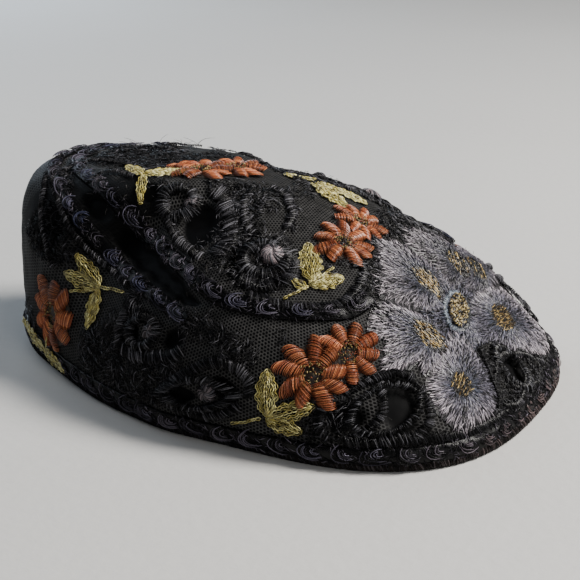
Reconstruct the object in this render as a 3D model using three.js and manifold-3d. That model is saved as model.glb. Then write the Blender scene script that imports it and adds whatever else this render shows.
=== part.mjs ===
// Embroidered skullcap: a soft oval cap standing on its rim, high and pinched at the back,
// sloping to a low broad front. Millimetres, +X to the front, +Y to the wearer's left, +Z up.
// A place on the cloth is a bearing (degrees round from the front, negative on the wearer's
// right) and a climb (0 at the foot of the cloth, 100 at the crown point, along the cloth).
import * as THREE from "three";
import { mergeVertices } from "three/addons/utils/BufferGeometryUtils.js";
import Module from "manifold-3d";

const wasm = await Module();
wasm.setup();

// Driving dimensions of the cap
const backReach = 107.5;
const frontReach = 87.5;
const rimWidth = 142;
const crownHeight = 68;
const crownAhead = 10.85;
const noseDrop = 39;
const dropStart = -50;
const dropPower = 2.5;
const tuckHeight = 24;

// Cloth thicknesses and clearances
const netThickness = 1.0;
const groundThickness = 1.5;
const gap = 0.3;
const padLift = 0.55;
const braidLift = 0.85;
const padEdge = 0.45;

// Rolled hem under the cloth
const hemHeight = 3.0;
const hemProud = 0.6;
const hemCorner = 0.7;

// Mesh fineness
const wallColumns = 48;
const bandShares = [0, 0.2, 0.42, 0.62, 0.77, 0.89, 1];
const crownShares = [0, 0.1, 0.24, 0.42, 0.62, 0.82, 1];
const profileSteps = 160;
const profileCrowding = 3.5;
const settleSteps = 40;
const settleReach = 3;
const innerDepth = 45;
const petalPoints = 14;
const ovalPoints = 12;
const windowPoints = 8;
const leafSpread = [-42, -18, 0, 18, 42];
const leafSlimness = 2.2;

// Outline of the rim: the power of the oval, round at 2, boxy above it and pointed below it
const planRows = [
  { bearing: 0, power: 3.2 },
  { bearing: 60, power: 3.2 },
  { bearing: 115, power: 1.6 },
  { bearing: 145, power: 1.6 },
  { bearing: 180, power: 1.85 },
];

// Upright sections: the power of each profile and the share by which its foot tucks in
const sectionRows = [
  { bearing: 0, power: 1.7, tuck: 0.01 },
  { bearing: 45, power: 1.85, tuck: 0.04 },
  { bearing: 90, power: 2.05, tuck: 0.07 },
  { bearing: 135, power: 2.1, tuck: 0.04 },
  { bearing: 180, power: 9.0, tuck: 0.01 },
];

// The long fold between the two braids at the back, the same on both sides
const foldSpread = 8;
const foldRows = [
  { bearing: 88, climb: 41, depth: 0 },
  { bearing: 102, climb: 42, depth: 0.9 },
  { bearing: 118, climb: 46, depth: 1.8 },
  { bearing: 135, climb: 48, depth: 2.2 },
  { bearing: 157, climb: 49, depth: 2.2 },
  { bearing: 170, climb: 49, depth: 1.6 },
  { bearing: 180, climb: 49, depth: 1.2 },
];

// Soft dents, with bulges as negative depths, the same on both sides
const dentRows = [
  { bearing: 62, climb: 66, depth: 1.6, radius: 15 },
  { bearing: 112, climb: 66, depth: 1.8, radius: 12 },
  { bearing: 104, climb: 30, depth: 1.0, radius: 11 },
  { bearing: 46, climb: 18, depth: 1.2, radius: 12 },
  { bearing: 78, climb: 32, depth: -0.9, radius: 13 },
  { bearing: 142, climb: 68, depth: -0.8, radius: 11 },
];

// The seam between the crown and the band of the net, under the crown braid
const seamRows = [
  { bearing: 0, climb: 57 },
  { bearing: 30, climb: 56 },
  { bearing: 47, climb: 45 },
  { bearing: 73, climb: 43 },
  { bearing: 88, climb: 44 },
  { bearing: 112, climb: 52 },
  { bearing: 142, climb: 54 },
  { bearing: 180, climb: 51 },
];

const braidShoulder = 0.4;
const braidFlat = 0.45;

// Braids: stations from one end round the back to the other, mirrored from the right side
const braids = [
  {
    name: "crown_braid", width: 4.6, thick: 1.5, stations: 22, closed: false,
    path: [[-37, 51], [-47, 45.5], [-73, 43], [-88, 44], [-97, 47], [-112, 52], [-142, 54],
      [-158, 53], [-180, 51]],
  },
  {
    name: "back_braid", width: 4.0, thick: 1.4, stations: 15, closed: false,
    path: [[-97, 36], [-110, 40], [-132, 41], [-147, 43], [-158, 45.5], [-170, 46], [-180, 46]],
  },
  {
    name: "rim_braid", width: 4.4, thick: 1.5, stations: 26, closed: true,
    path: [[0, 5.8], [-45, 6.2], [-90, 5.8], [-135, 5.6], [-180, 3.9]],
  },
];

// The large front flower: its middle, and the tip of each petal
const flowerMiddle = { bearing: 0, climb: 38, across: 9.5, tall: 12.5, thick: 1.7 };
const petalThick = 1.5;
const petalStart = 7.2;
const petalBelly = 0.6;
const petalFullness = 0.6;
const petalFoot = 0.16;
const petalRows = [
  { name: "upper_right", bearing: -21, climb: 65, width: 23 },
  { name: "side_right", bearing: -42, climb: 41, width: 23 },
  { name: "lower_right", bearing: -26, climb: 11.5, width: 23 },
  { name: "lower_left", bearing: 25, climb: 11.5, width: 23 },
  { name: "side_left", bearing: 42, climb: 41, width: 23 },
  { name: "upper_left", bearing: 21, climb: 65, width: 23 },
];

// Rust flowers: one disc, or two that run together
const rustPetals = 9;
const rustThick = 1.9;
const rustNotch = 0.16;
const rustFlowers = [
  { name: "crown_front", sides: [1], discs: [
    { bearing: -38, climb: 70, radius: 10.6 }, { bearing: -9, climb: 78, radius: 8.6 }] },
  { name: "crown_back", sides: [1], discs: [
    { bearing: -172, climb: 78, radius: 9.4 }, { bearing: 172, climb: 86.5, radius: 8.0 }] },
  { name: "side_front", sides: [1, -1], discs: [
    { bearing: -59, climb: 27.5, radius: 11 }, { bearing: -49, climb: 34.5, radius: 8.6 }] },
  { name: "side_back", sides: [1, -1], discs: [{ bearing: -146, climb: 20, radius: 11.5 }] },
];

// Leaf sprigs: the joint of the leaves, a place to face, and each leaf by turn, length and width
const leafThick = 1.3;
const sprigs = [
  { name: "crown_front", sides: [1], bearing: -60, climb: 54, toward: [-55, 70], leaves: [
    { turn: 0, long: 16, wide: 7 }, { turn: 72, long: 13, wide: 7.5 }, { turn: -62, long: 5.5, wide: 4.5 },
    { turn: -118, long: 10, wide: 1.8 }] },
  { name: "crown_top", sides: [1], bearing: 60, climb: 92, toward: [0, 88], leaves: [
    { turn: 20, long: 16, wide: 6.5 }, { turn: -28, long: 13, wide: 6 },
    { turn: 180, long: 11, wide: 5.5 }] },
  { name: "crown_back", sides: [1], bearing: -156, climb: 65.5, toward: [-164, 60], leaves: [
    { turn: 0, long: 10, wide: 5.5 }, { turn: 146, long: 10, wide: 6 }, { turn: -72, long: 12, wide: 3.6 }] },
  { name: "side_front", sides: [1, -1], bearing: -72, climb: 14, toward: [-70, 26], leaves: [
    { turn: 4, long: 14.5, wide: 7 }, { turn: 68, long: 12.5, wide: 6.5 }, { turn: 100, long: 12, wide: 6 },
    { turn: -100, long: 9.5, wide: 1.8 }] },
  { name: "side_back", sides: [1, -1], bearing: -136, climb: 32, toward: [-145, 38], leaves: [
    { turn: 0, long: 12, wide: 6.5 }, { turn: -62, long: 10, wide: 5.5 },
    { turn: -150, long: 12.5, wide: 6.5 }, { turn: 126, long: 10, wide: 1.8 }] },
];

// Raised satin borders of the eyelets and scrolls: pointed ovals open in the middle
const scrollThick = 1.5;
const scrolls = [
  { name: "crown_eyelet", sides: [1, -1], bearing: -140, climb: 66, toward: [-136, 70],
    long: 12.5, wide: 11, power: 2, open: 0.55 },
  { name: "crown_boss", sides: [1, -1], bearing: -78, climb: 60.5, toward: [-65, 63],
    long: 18, wide: 16, power: 2, open: 0.5 },
  { name: "side_eyelet", sides: [1, -1], bearing: -112, climb: 28, toward: [-105, 30],
    long: 15, wide: 11.5, power: 2, open: 0.55 },
  { name: "side_eye", sides: [1, -1], bearing: -90, climb: 15.5, toward: [-76, 18],
    long: 32, wide: 11, power: 1.35, open: 0.66 },
  { name: "front_recess", sides: [1, -1], bearing: -43.5, climb: 17.5, toward: [-33, 21],
    long: 25, wide: 14.5, power: 1.6, open: 0.74 },
  { name: "nose_eyelet", sides: [1], bearing: 1, climb: 15.5, toward: [0, 24],
    long: 17, wide: 12, power: 1.8, open: 0.62 },
];

// Cut-work windows through the net, down to the plain ground cloth
const windows = [
  { sides: [1, -1], bearing: -153, climb: 39.5, toward: [-158, 42], long: 13, wide: 3.6, power: 1.4 },
  { sides: [1, -1], bearing: -149, climb: 48.5, toward: [-140, 47], long: 17, wide: 6.0, power: 1.5 },
  { sides: [1, -1], bearing: -122, climb: 46.5, toward: [-112, 45], long: 17, wide: 5.4, power: 1.5 },
  { sides: [1, -1], bearing: -118, climb: 64, toward: [-112, 62], long: 11, wide: 9, power: 2 },
  { sides: [1, -1], bearing: -101, climb: 29.5, toward: [-96, 31], long: 8, wide: 5.5, power: 2 },
  { sides: [1, -1], bearing: -95, climb: 14.2, toward: [-90, 15], long: 9, wide: 4.4, power: 1.6 },
  { sides: [1, -1], bearing: -82, climb: 17.2, toward: [-78, 18], long: 7, wide: 4.0, power: 1.6 },
  { sides: [1, -1], bearing: -46, climb: 17, toward: [-40, 19], long: 13, wide: 7.5, power: 1.8 },
  { sides: [1], bearing: 1, climb: 15.5, toward: [0, 24], long: 7.5, wide: 5, power: 1.8 },
];

const black = { color: 0x17171b, roughness: 0.9 };
const blackSatin = { color: 0x24252b, roughness: 0.55 };
const greySatin = { color: 0x85828f, roughness: 0.5 };
const rustSatin = { color: 0xb5623a, roughness: 0.5 };
const oliveGold = { color: 0xb5ab55, roughness: 0.5 };
const goldSeed = { color: 0x8c7a42, roughness: 0.6 };

const clamp = THREE.MathUtils.clamp;
const radians = THREE.MathUtils.degToRad;

// Value of one column of a table, eased between its rows
function eased(rows, column, bearing) {
  const at = Math.abs(bearing);
  const last = rows.length - 1;
  const i = clamp(rows.findLastIndex((row) => row.bearing <= at), 0, last - 1);
  const share = clamp((at - rows[i].bearing) / (rows[i + 1].bearing - rows[i].bearing), 0, 1);
  return THREE.MathUtils.lerp(rows[i][column], rows[i + 1][column], share * share * (3 - 2 * share));
}

// Value of one column of a table, straight between its rows
function straight(rows, column, bearing) {
  const at = Math.abs(bearing);
  const last = rows.length - 1;
  const i = clamp(rows.findLastIndex((row) => row.bearing <= at), 0, last - 1);
  const share = clamp((at - rows[i].bearing) / (rows[i + 1].bearing - rows[i].bearing), 0, 1);
  return THREE.MathUtils.lerp(rows[i][column], rows[i + 1][column], share);
}

// Height of the crown line over a plan length measured from the crown point
function crownLine(x) {
  const drop = clamp((x - dropStart) / (frontReach - dropStart), 0, 1);
  return crownHeight - noseDrop * drop ** dropPower;
}

// Point of the smooth form at a bearing and an angle of rise, 0 at the rim and 90 at the crown
function formPoint(bearing, rise) {
  const c = Math.cos(radians(bearing));
  const s = Math.sin(radians(bearing));
  const plan = eased(planRows, "power", bearing);
  const power = eased(sectionRows, "power", bearing);
  const along = Math.abs(c / (c < 0 ? backReach : frontReach)) ** plan;
  const rim = (along + Math.abs(s / (rimWidth / 2)) ** plan) ** (-1 / plan);
  const out = rim * Math.max(Math.cos(radians(rise)), 0) ** (2 / power);
  const z = crownLine(out * c) * Math.max(Math.sin(radians(rise)), 0) ** (2 / power);
  const tuck = 1 - eased(sectionRows, "tuck", bearing) * Math.max(1 - z / tuckHeight, 0) ** 2;
  return new THREE.Vector3(out * c * tuck + crownAhead, out * s * tuck, z);
}

// Below 0 inside the smooth form and above 0 outside it; its slope gives the way out
function formField(point) {
  const x = point.x - crownAhead;
  const bearing = THREE.MathUtils.radToDeg(Math.atan2(point.y, x));
  const z = Math.max(point.z, 0);
  const tuck = 1 - eased(sectionRows, "tuck", bearing) * Math.max(1 - z / tuckHeight, 0) ** 2;
  const plan = eased(planRows, "power", bearing);
  const power = eased(sectionRows, "power", bearing);
  const along = Math.abs(x / tuck / (x < 0 ? backReach : frontReach)) ** plan;
  const share = (along + Math.abs(point.y / tuck / (rimWidth / 2)) ** plan) ** (1 / plan);
  return (share ** power + (z / crownLine(x / tuck)) ** power) ** (1 / power) - 1;
}

// Unit vector out of the cloth
function wayOut(point) {
  const step = 0.05;
  const slope = ["x", "y", "z"].map((axis) => {
    const ahead = point.clone();
    const behind = point.clone();
    ahead[axis] += step;
    behind[axis] -= step;
    return formField(ahead) - formField(behind);
  });
  return new THREE.Vector3(...slope).normalize();
}

// One upright profile, foot to crown, as points with the length of cloth up to each
const profiles = new Map();
function profileAt(bearing) {
  if (!profiles.has(bearing)) {
    const points = [];
    const lengths = [0];
    for (let i = 0; i <= profileSteps; i++) {
      const u = i / profileSteps;
      const half = 0.5 * (2 * Math.min(u, 1 - u)) ** profileCrowding;
      points.push(formPoint(bearing, 90 * (u < 0.5 ? half : 1 - half)));
      if (i > 0) {
        lengths.push(lengths[i - 1] + points[i].distanceTo(points[i - 1]));
      }
    }
    profiles.set(bearing, { points, lengths });
  }
  return profiles.get(bearing);
}

// Point of the smooth form at a bearing and a climb
function climbPoint(bearing, climb) {
  const { points, lengths } = profileAt(bearing);
  const want = (clamp(climb, 0, 100) / 100) * lengths[profileSteps];
  const i = clamp(lengths.findLastIndex((length) => length <= want), 0, profileSteps - 1);
  return points[i].clone().lerp(points[i + 1], (want - lengths[i]) / (lengths[i + 1] - lengths[i]));
}

// How far the fold and the dents press the cloth in at a point
function pressedIn(point) {
  const bearing = THREE.MathUtils.radToDeg(Math.atan2(point.y, point.x - crownAhead));
  const foldPoint = climbPoint(Math.round(bearing), straight(foldRows, "climb", bearing));
  const inwards = Math.hypot(point.x, point.y) - Math.hypot(foldPoint.x, foldPoint.y);
  const away = Math.hypot(point.z - foldPoint.z, inwards);
  let depth = straight(foldRows, "depth", bearing) * Math.exp(-((away / foldSpread) ** 2));
  for (const dent of dentRows) {
    for (const side of [-1, 1]) {
      const far = climbPoint(side * dent.bearing, dent.climb).distanceTo(point);
      depth += dent.depth * Math.exp(-((far / dent.radius) ** 2));
    }
  }
  return depth;
}

// Point of the folded cloth, lifted off its outer face by an offset
function clothPoint(point, offset) {
  return point.clone().addScaledVector(wayOut(point), offset - pressedIn(point));
}

// Where a ray from inside the cap meets the smooth form
function settle(inner, aim) {
  const ray = aim.clone().sub(inner);
  let near = 0;
  let far = settleReach;
  for (let i = 0; i < settleSteps; i++) {
    const middle = (near + far) / 2;
    if (formField(inner.clone().addScaledVector(ray, middle)) < 0) {
      near = middle;
    } else {
      far = middle;
    }
  }
  return inner.clone().addScaledVector(ray, near);
}

// Working frame on the cloth: out of it, up along it towards a second place, and right across
function localFrame(bearing, climb, toward) {
  const origin = climbPoint(bearing, climb);
  const out = wayOut(origin);
  const up = climbPoint(...toward).sub(origin);
  up.addScaledVector(out, -up.dot(out)).normalize();
  const right = up.clone().cross(out);
  const inner = origin.clone().addScaledVector(out, -innerDepth);
  const place = (u, v, offset) => {
    const aim = origin.clone().addScaledVector(right, u).addScaledVector(up, v);
    return clothPoint(settle(inner, aim), offset);
  };
  return { place };
}

// Mesh from points and triangles, named and coloured
function namedMesh(name, points, triangles, finish) {
  const geometry = new THREE.BufferGeometry();
  const places = points.flatMap((point) => point.toArray());
  geometry.setAttribute("position", new THREE.Float32BufferAttribute(places, 3));
  geometry.setIndex(triangles);
  geometry.computeVertexNormals();
  const mesh = new THREE.Mesh(geometry, new THREE.MeshStandardMaterial({ metalness: 0, ...finish }));
  mesh.name = name;
  return mesh;
}

// Two triangles for each cell between two rings of vertices
function stitchRings(triangles, first, second, count, closed) {
  for (let i = 0; i < (closed ? count : count - 1); i++) {
    const j = (i + 1) % count;
    triangles.push(first + i, first + j, second + j, first + i, second + j, second + i);
  }
}

// The same cells seen from their other side, with the same diagonals
function stitchBack(triangles, first, second, count) {
  for (let i = 0; i < count; i++) {
    const j = (i + 1) % count;
    triangles.push(first + i, second + j, first + j, first + i, second + i, second + j);
  }
}

// Fan of triangles that closes a ring of vertices at one point
function closeFan(triangles, start, count, pole, outward) {
  for (let i = 0; i < count; i++) {
    const j = (i + 1) % count;
    triangles.push(...(outward ? [start + i, start + j, pole] : [start + j, start + i, pole]));
  }
}

// Solid from a mesh, for cutting and joining
function solidOf(mesh) {
  const geometry = mesh.geometry.clone();
  geometry.deleteAttribute("normal");
  const merged = mergeVertices(geometry, 1e-4);
  return new wasm.Manifold(new wasm.Mesh({
    numProp: 3,
    vertProperties: new Float32Array(merged.attributes.position.array),
    triVerts: new Uint32Array(merged.index.array),
  }));
}

// Named mesh from a solid
function meshOf(name, solid, finish) {
  const { vertProperties, triVerts, numProp } = solid.getMesh();
  const points = [];
  for (let i = 0; i < vertProperties.length; i += numProp) {
    points.push(new THREE.Vector3(vertProperties[i], vertProperties[i + 1], vertProperties[i + 2]));
  }
  return namedMesh(name, points, Array.from(triVerts), finish);
}

// Climb at which a profile reaches a height above the rim plane
function climbAtHeight(bearing, height) {
  const { points, lengths } = profileAt(bearing);
  const i = points.findIndex((point) => point.z >= height);
  const share = (height - points[i - 1].z) / (points[i].z - points[i - 1].z);
  return (100 * THREE.MathUtils.lerp(lengths[i - 1], lengths[i], share)) / lengths[profileSteps];
}

// Climbs of the rows of cloth from its foot to the seam, and from the seam to the crown point
function bandClimbs(bearing, stop = 0) {
  const foot = climbAtHeight(bearing, hemHeight + gap);
  const head = straight(seamRows, "climb", bearing) - stop;
  return bandShares.map((share) => THREE.MathUtils.lerp(foot, head, share));
}

function crownClimbs(bearing, start = 0) {
  const foot = straight(seamRows, "climb", bearing) + start;
  return crownShares.map((share) => THREE.MathUtils.lerp(foot, 100, share));
}

// Point of a wall's face, with the foot of the cloth level all round
function wallPoint(bearing, climb, offset) {
  const base = climbPoint(bearing, climb);
  const point = clothPoint(base, offset);
  return base.z < hemHeight + 2 * gap ? point.setZ(base.z) : point;
}

// Closed wall of cloth through rows of climbs, each row a function of the bearing
function clothWall(name, { climbsAt, outer, inner, finish }) {
  const bearings = Array.from({ length: wallColumns }, (_, column) => (360 * column) / wallColumns - 180);
  const columns = bearings.map(climbsAt);
  const toCrown = columns[0].at(-1) === 100;
  const rows = columns[0].length - (toCrown ? 1 : 0);
  const points = [];
  const triangles = [];
  const faces = [outer, inner].map((offset) => {
    const start = points.length;
    for (let row = 0; row < rows; row++) {
      bearings.forEach((bearing, i) => points.push(wallPoint(bearing, columns[i][row], offset)));
    }
    return start;
  });
  const ring = (face, row) => faces[face] + row * wallColumns;
  for (let row = 1; row < rows; row++) {
    stitchRings(triangles, ring(0, row - 1), ring(0, row), wallColumns, true);
    stitchBack(triangles, ring(1, row - 1), ring(1, row), wallColumns);
  }
  stitchRings(triangles, ring(1, 0), ring(0, 0), wallColumns, true);
  if (toCrown) {
    points.push(clothPoint(climbPoint(0, 100), outer), clothPoint(climbPoint(0, 100), inner));
    closeFan(triangles, ring(0, rows - 1), wallColumns, points.length - 2, true);
    closeFan(triangles, ring(1, rows - 1), wallColumns, points.length - 1, false);
  } else {
    stitchRings(triangles, ring(0, rows - 1), ring(1, rows - 1), wallColumns, true);
  }
  return namedMesh(name, points, triangles, finish);
}

// Padded patch on the cloth: a closed outline about a middle, in rings that rise from its edge
function patch(name, { bearing, climb, toward, outline, middle, rings, heights, open, lift, finish, side }) {
  const { place } = localFrame(bearing, climb, toward);
  const count = outline.length;
  const points = [];
  const triangles = [];
  const starts = { top: [], bottom: [] };
  for (const face of ["top", "bottom"]) {
    rings.forEach((share, k) => {
      starts[face].push(points.length);
      for (const [u, v] of outline) {
        const offset = face === "top" ? lift + heights[k] : lift;
        points.push(place(middle[0] + share * (u - middle[0]), middle[1] + share * (v - middle[1]), offset));
      }
    });
  }
  for (let k = 1; k < rings.length; k++) {
    stitchRings(triangles, starts.top[k], starts.top[k - 1], count, true);
    stitchRings(triangles, starts.bottom[k - 1], starts.bottom[k], count, true);
  }
  const outer = rings.length - 1;
  stitchRings(triangles, starts.bottom[outer], starts.top[outer], count, true);
  if (open) {
    stitchRings(triangles, starts.top[0], starts.bottom[0], count, true);
  } else {
    points.push(place(...middle, lift + heights[0]), place(...middle, lift));
    closeFan(triangles, starts.top[0], count, points.length - 2, true);
    closeFan(triangles, starts.bottom[0], count, points.length - 1, false);
  }
  return mirrored(name, points, triangles, finish, side);
}

// The piece as placed on the wearer's right, or its mirror image on the left
function mirrored(name, points, triangles, finish, side) {
  if (side > 0) {
    return namedMesh(name, points, triangles, finish);
  }
  const flipped = points.map((p) => new THREE.Vector3(p.x, -p.y, p.z));
  return namedMesh(name, flipped, triangles.toReversed(), finish);
}

// Counter-clockwise outlines seen from outside, [across, up] in millimetres
function pointedOval(long, wide, power, count) {
  return Array.from({ length: count }, (_, i) => {
    const turn = (2 * Math.PI * i) / count;
    const c = Math.cos(turn);
    const s = Math.sin(turn);
    const reach = (Math.abs((2 * c) / wide) ** power + Math.abs((2 * s) / long) ** power) ** (-1 / power);
    return [reach * c, reach * s];
  });
}

function lobedRound(radius, lobes, notch) {
  return Array.from({ length: 2 * lobes }, (_, i) => {
    const turn = (Math.PI * i) / lobes;
    const reach = radius * (i % 2 ? 1 - notch : 1);
    return [reach * Math.cos(turn), reach * Math.sin(turn)];
  });
}

// Petal from its narrow foot to its broad notched tip
function petalOutline(start, long, width, count) {
  return Array.from({ length: count }, (_, i) => {
    const turn = (2 * Math.PI * (i + 0.5)) / count;
    const along = (1 - Math.cos(turn)) / 2;
    const across = petalFullness * width * Math.sin(turn) * THREE.MathUtils.lerp(petalFoot, 1, along ** 0.8);
    return [across, start + long * along];
  });
}

// Leaves that all start at one point: the farthest reach of any leaf at each turn
function sprigOutline(leaves) {
  const turns = leaves.flatMap(({ turn, long, wide }) => {
    return leafSpread.map((away) => turn + away * Math.min(1, (leafSlimness * wide) / long));
  });
  const wrapped = new Set(turns.map((turn) => ((Math.round(turn) % 360) + 360) % 360));
  const ordered = [...wrapped].sort((a, b) => a - b);
  const kept = ordered.filter((turn, i) => i === 0 || turn - ordered[i - 1] >= 4);
  return kept.map((turn) => {
    const reach = Math.max(1.2, ...leaves.map((leaf) => leafReach(leaf, turn)));
    return [reach * Math.sin(radians(turn)), reach * Math.cos(radians(turn))];
  }).reverse();
}

// Reach of one oval leaf from its foot, in a direction given as a turn clockwise from up
function leafReach({ turn, long, wide }, at) {
  const away = radians(((at - turn + 540) % 360) - 180);
  if (Math.cos(away) <= 0) {
    return 0;
  }
  const a = long / 2;
  const b = wide / 2;
  return (2 * a * b * b * Math.cos(away)) / ((b * Math.cos(away)) ** 2 + (a * Math.sin(away)) ** 2);
}

// Smooth run of bearing and climb through the stations of a braid, mirrored past the back
function braidRun({ path, stations, closed }) {
  const corners = path.map(([bearing, climb]) => new THREE.Vector3(bearing, climb * 2, 0));
  const curve = new THREE.CatmullRomCurve3(corners);
  const half = curve.getSpacedPoints(stations).map((p) => [p.x, p.y / 2]);
  const rest = half.toReversed().slice(1).map(([bearing, climb]) => [-bearing, climb]);
  return closed ? [...half, ...rest].slice(0, -1) : [...half, ...rest];
}

// Braid laid on the cloth: a low arched section along a run
function braid(row) {
  const run = braidRun(row);
  const count = run.length;
  const centres = run.map(([bearing, climb]) => climbPoint(bearing, climb));
  const half = row.width / 2;
  const shoulder = braidShoulder * row.thick;
  const flat = braidFlat * half;
  const section = [[-half, 0], [half, 0], [half, shoulder], [flat, row.thick], [-flat, row.thick], [-half, shoulder]];
  const points = [];
  for (const [across, height] of section) {
    for (let i = 0; i < count; i++) {
      const before = row.closed ? centres[(i + count - 1) % count] : centres[Math.max(i - 1, 0)];
      const after = row.closed ? centres[(i + 1) % count] : centres[Math.min(i + 1, count - 1)];
      const out = wayOut(centres[i]);
      const sideways = after.clone().sub(before).cross(out).normalize();
      const inner = centres[i].clone().addScaledVector(out, -innerDepth / 2);
      const aim = centres[i].clone().addScaledVector(sideways, across);
      points.push(clothPoint(settle(inner, aim), braidLift + height));
    }
  }
  const triangles = [];
  for (let k = 0; k < section.length; k++) {
    stitchRings(triangles, k * count, ((k + 1) % section.length) * count, count, row.closed);
  }
  if (!row.closed) {
    for (let k = 1; k < section.length - 1; k++) {
      triangles.push(0, k * count, (k + 1) * count);
      triangles.push(count - 1, (k + 2) * count - 1, (k + 1) * count - 1);
    }
  }
  return namedMesh(row.name, points, triangles, blackSatin);
}

// Rolled hem that the cap stands on, flat underneath
function rimBinding() {
  const wall = netThickness + gap + groundThickness;
  const outer = hemProud;
  const inner = -wall - hemProud;
  const section = [[outer - hemCorner, 0], [outer, hemHeight / 2], [outer - hemCorner, hemHeight],
    [inner + hemCorner, hemHeight], [inner, hemHeight / 2], [inner + hemCorner, 0]];
  const points = [];
  for (const [offset, height] of section) {
    for (let column = 0; column < wallColumns; column++) {
      const bearing = (360 * column) / wallColumns - 180;
      const foot = formPoint(bearing, 0);
      const out = wayOut(foot).setZ(0).normalize();
      points.push(foot.addScaledVector(out, offset).setZ(height));
    }
  }
  const triangles = [];
  for (let k = 0; k < section.length; k++) {
    stitchRings(triangles, k * wallColumns, ((k + 1) % section.length) * wallColumns, wallColumns, true);
  }
  return namedMesh("rim_binding", points, triangles, black);
}

// Smooth ground cloth, the inner layer of the cap
function groundCap() {
  const outer = -netThickness - gap;
  const climbsAt = (bearing) => [...bandClimbs(bearing), ...crownClimbs(bearing).slice(1)];
  return clothWall("ground_cap", { climbsAt, outer, inner: outer - groundThickness, finish: black });
}

// Every window cutter that falls on a wall of net
function cutWindows(wall) {
  let solid = solidOf(wall);
  for (const row of windows) {
    for (const side of row.sides) {
      const outline = pointedOval(row.long, row.wide, row.power, windowPoints);
      const cutter = patch("window", {
        ...row, outline, middle: [0, 0], rings: [1], heights: [3 * netThickness],
        lift: -2 * netThickness, side, finish: black,
      });
      solid = solid.subtract(solidOf(cutter));
    }
  }
  return meshOf(wall.name, solid, blackSatin);
}

// Embroidered net over the ground cloth: the crown above the seam and the band below it
function netLayers() {
  const seamHalf = (bearing) => (50 * gap) / profileAt(bearing).lengths[profileSteps];
  const layer = { outer: 0, inner: -netThickness, finish: blackSatin };
  const crownRows = (bearing) => crownClimbs(bearing, seamHalf(bearing));
  const bandRows = (bearing) => bandClimbs(bearing, seamHalf(bearing));
  const crown = clothWall("net_crown", { ...layer, climbsAt: crownRows });
  const band = clothWall("net_band", { ...layer, climbsAt: bandRows });
  return [crown, band].map(cutWindows);
}

// Large grey satin flower over the front
function frontFlower() {
  const { bearing, climb, across, tall, thick } = flowerMiddle;
  const pieces = [patch("front_flower_middle", {
    bearing, climb, toward: [0, 60], outline: pointedOval(tall, across, 2, ovalPoints), middle: [0, 0],
    rings: [0.6, 1], heights: [thick, padEdge], lift: padLift, side: 1, finish: goldSeed,
  })];
  for (const row of petalRows) {
    const belly = [row.bearing * petalBelly, THREE.MathUtils.lerp(climb, row.climb, petalBelly)];
    const foot = petalStart - climbPoint(...belly).distanceTo(climbPoint(bearing, climb));
    const long = climbPoint(...belly).distanceTo(climbPoint(row.bearing, row.climb)) - foot;
    pieces.push(patch(`front_petal_${row.name}`, {
      bearing: belly[0], climb: belly[1], toward: [row.bearing, row.climb],
      outline: petalOutline(foot, long, row.width, petalPoints), middle: [0, 0], rings: [0.55, 1],
      heights: [petalThick, padEdge], lift: padLift, side: 1, finish: greySatin,
    }));
  }
  return pieces;
}

// Name of a motif, with its side where there is one on each
function sideName(kind, { name, sides }, side) {
  const suffix = side > 0 ? "_right" : "_left";
  return `${kind}_${name}${sides.length > 1 ? suffix : ""}`;
}

// Rust flowers of padded satin petals; two discs that run together are joined
function rustFlowerPatches() {
  return rustFlowers.flatMap((row) => row.sides.map((side) => {
    const name = sideName("rust_flower", row, side);
    const discs = row.discs.map(({ bearing, climb, radius }) => patch(name, {
      bearing, climb, toward: [bearing, climb + 10], outline: lobedRound(radius, rustPetals, rustNotch),
      middle: [0, 0], rings: [0.6, 1], heights: [rustThick, padEdge], lift: padLift, side, finish: rustSatin,
    }));
    if (discs.length === 1) {
      return discs[0];
    }
    return meshOf(name, solidOf(discs[0]).add(solidOf(discs[1])), rustSatin);
  }));
}

// Leaf sprigs of gold chain stitch
function leafSprigs() {
  return sprigs.flatMap((row) => row.sides.map((side) => patch(sideName("leaf_sprig", row, side), {
    ...row, outline: sprigOutline(row.leaves), middle: [0, 0], rings: [0.5, 1], heights: [leafThick, padEdge],
    lift: padLift, side, finish: oliveGold,
  })));
}

// Satin borders round the eyelets and scrolls
function scrollBorders() {
  return scrolls.flatMap((row) => row.sides.map((side) => patch(sideName("scroll", row, side), {
    ...row, outline: pointedOval(row.long, row.wide, row.power, ovalPoints), middle: [0, 0],
    rings: [row.open, 1], heights: [scrollThick, 0.6 * scrollThick], open: true, lift: padLift, side,
    finish: blackSatin,
  })));
}

const group = new THREE.Group();
group.add(groundCap(), ...netLayers(), rimBinding(), ...braids.map(braid));
group.add(...frontFlower(), ...rustFlowerPatches(), ...leafSprigs(), ...scrollBorders());

export default group;
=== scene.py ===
import bpy
import numpy as np
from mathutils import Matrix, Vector


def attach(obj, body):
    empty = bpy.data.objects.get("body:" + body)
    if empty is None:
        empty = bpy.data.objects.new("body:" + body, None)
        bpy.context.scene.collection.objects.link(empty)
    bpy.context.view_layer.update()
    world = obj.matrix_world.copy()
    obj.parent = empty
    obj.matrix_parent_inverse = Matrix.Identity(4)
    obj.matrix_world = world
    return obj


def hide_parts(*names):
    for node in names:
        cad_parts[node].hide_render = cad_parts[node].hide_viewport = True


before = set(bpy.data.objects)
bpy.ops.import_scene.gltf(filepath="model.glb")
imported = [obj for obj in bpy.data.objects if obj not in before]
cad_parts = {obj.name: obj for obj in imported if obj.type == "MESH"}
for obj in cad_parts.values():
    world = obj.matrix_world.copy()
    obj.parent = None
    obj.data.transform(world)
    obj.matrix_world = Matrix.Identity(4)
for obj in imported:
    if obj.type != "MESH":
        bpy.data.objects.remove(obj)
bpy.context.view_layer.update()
rng = np.random.default_rng(11)
millimetre = 0.001

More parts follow.
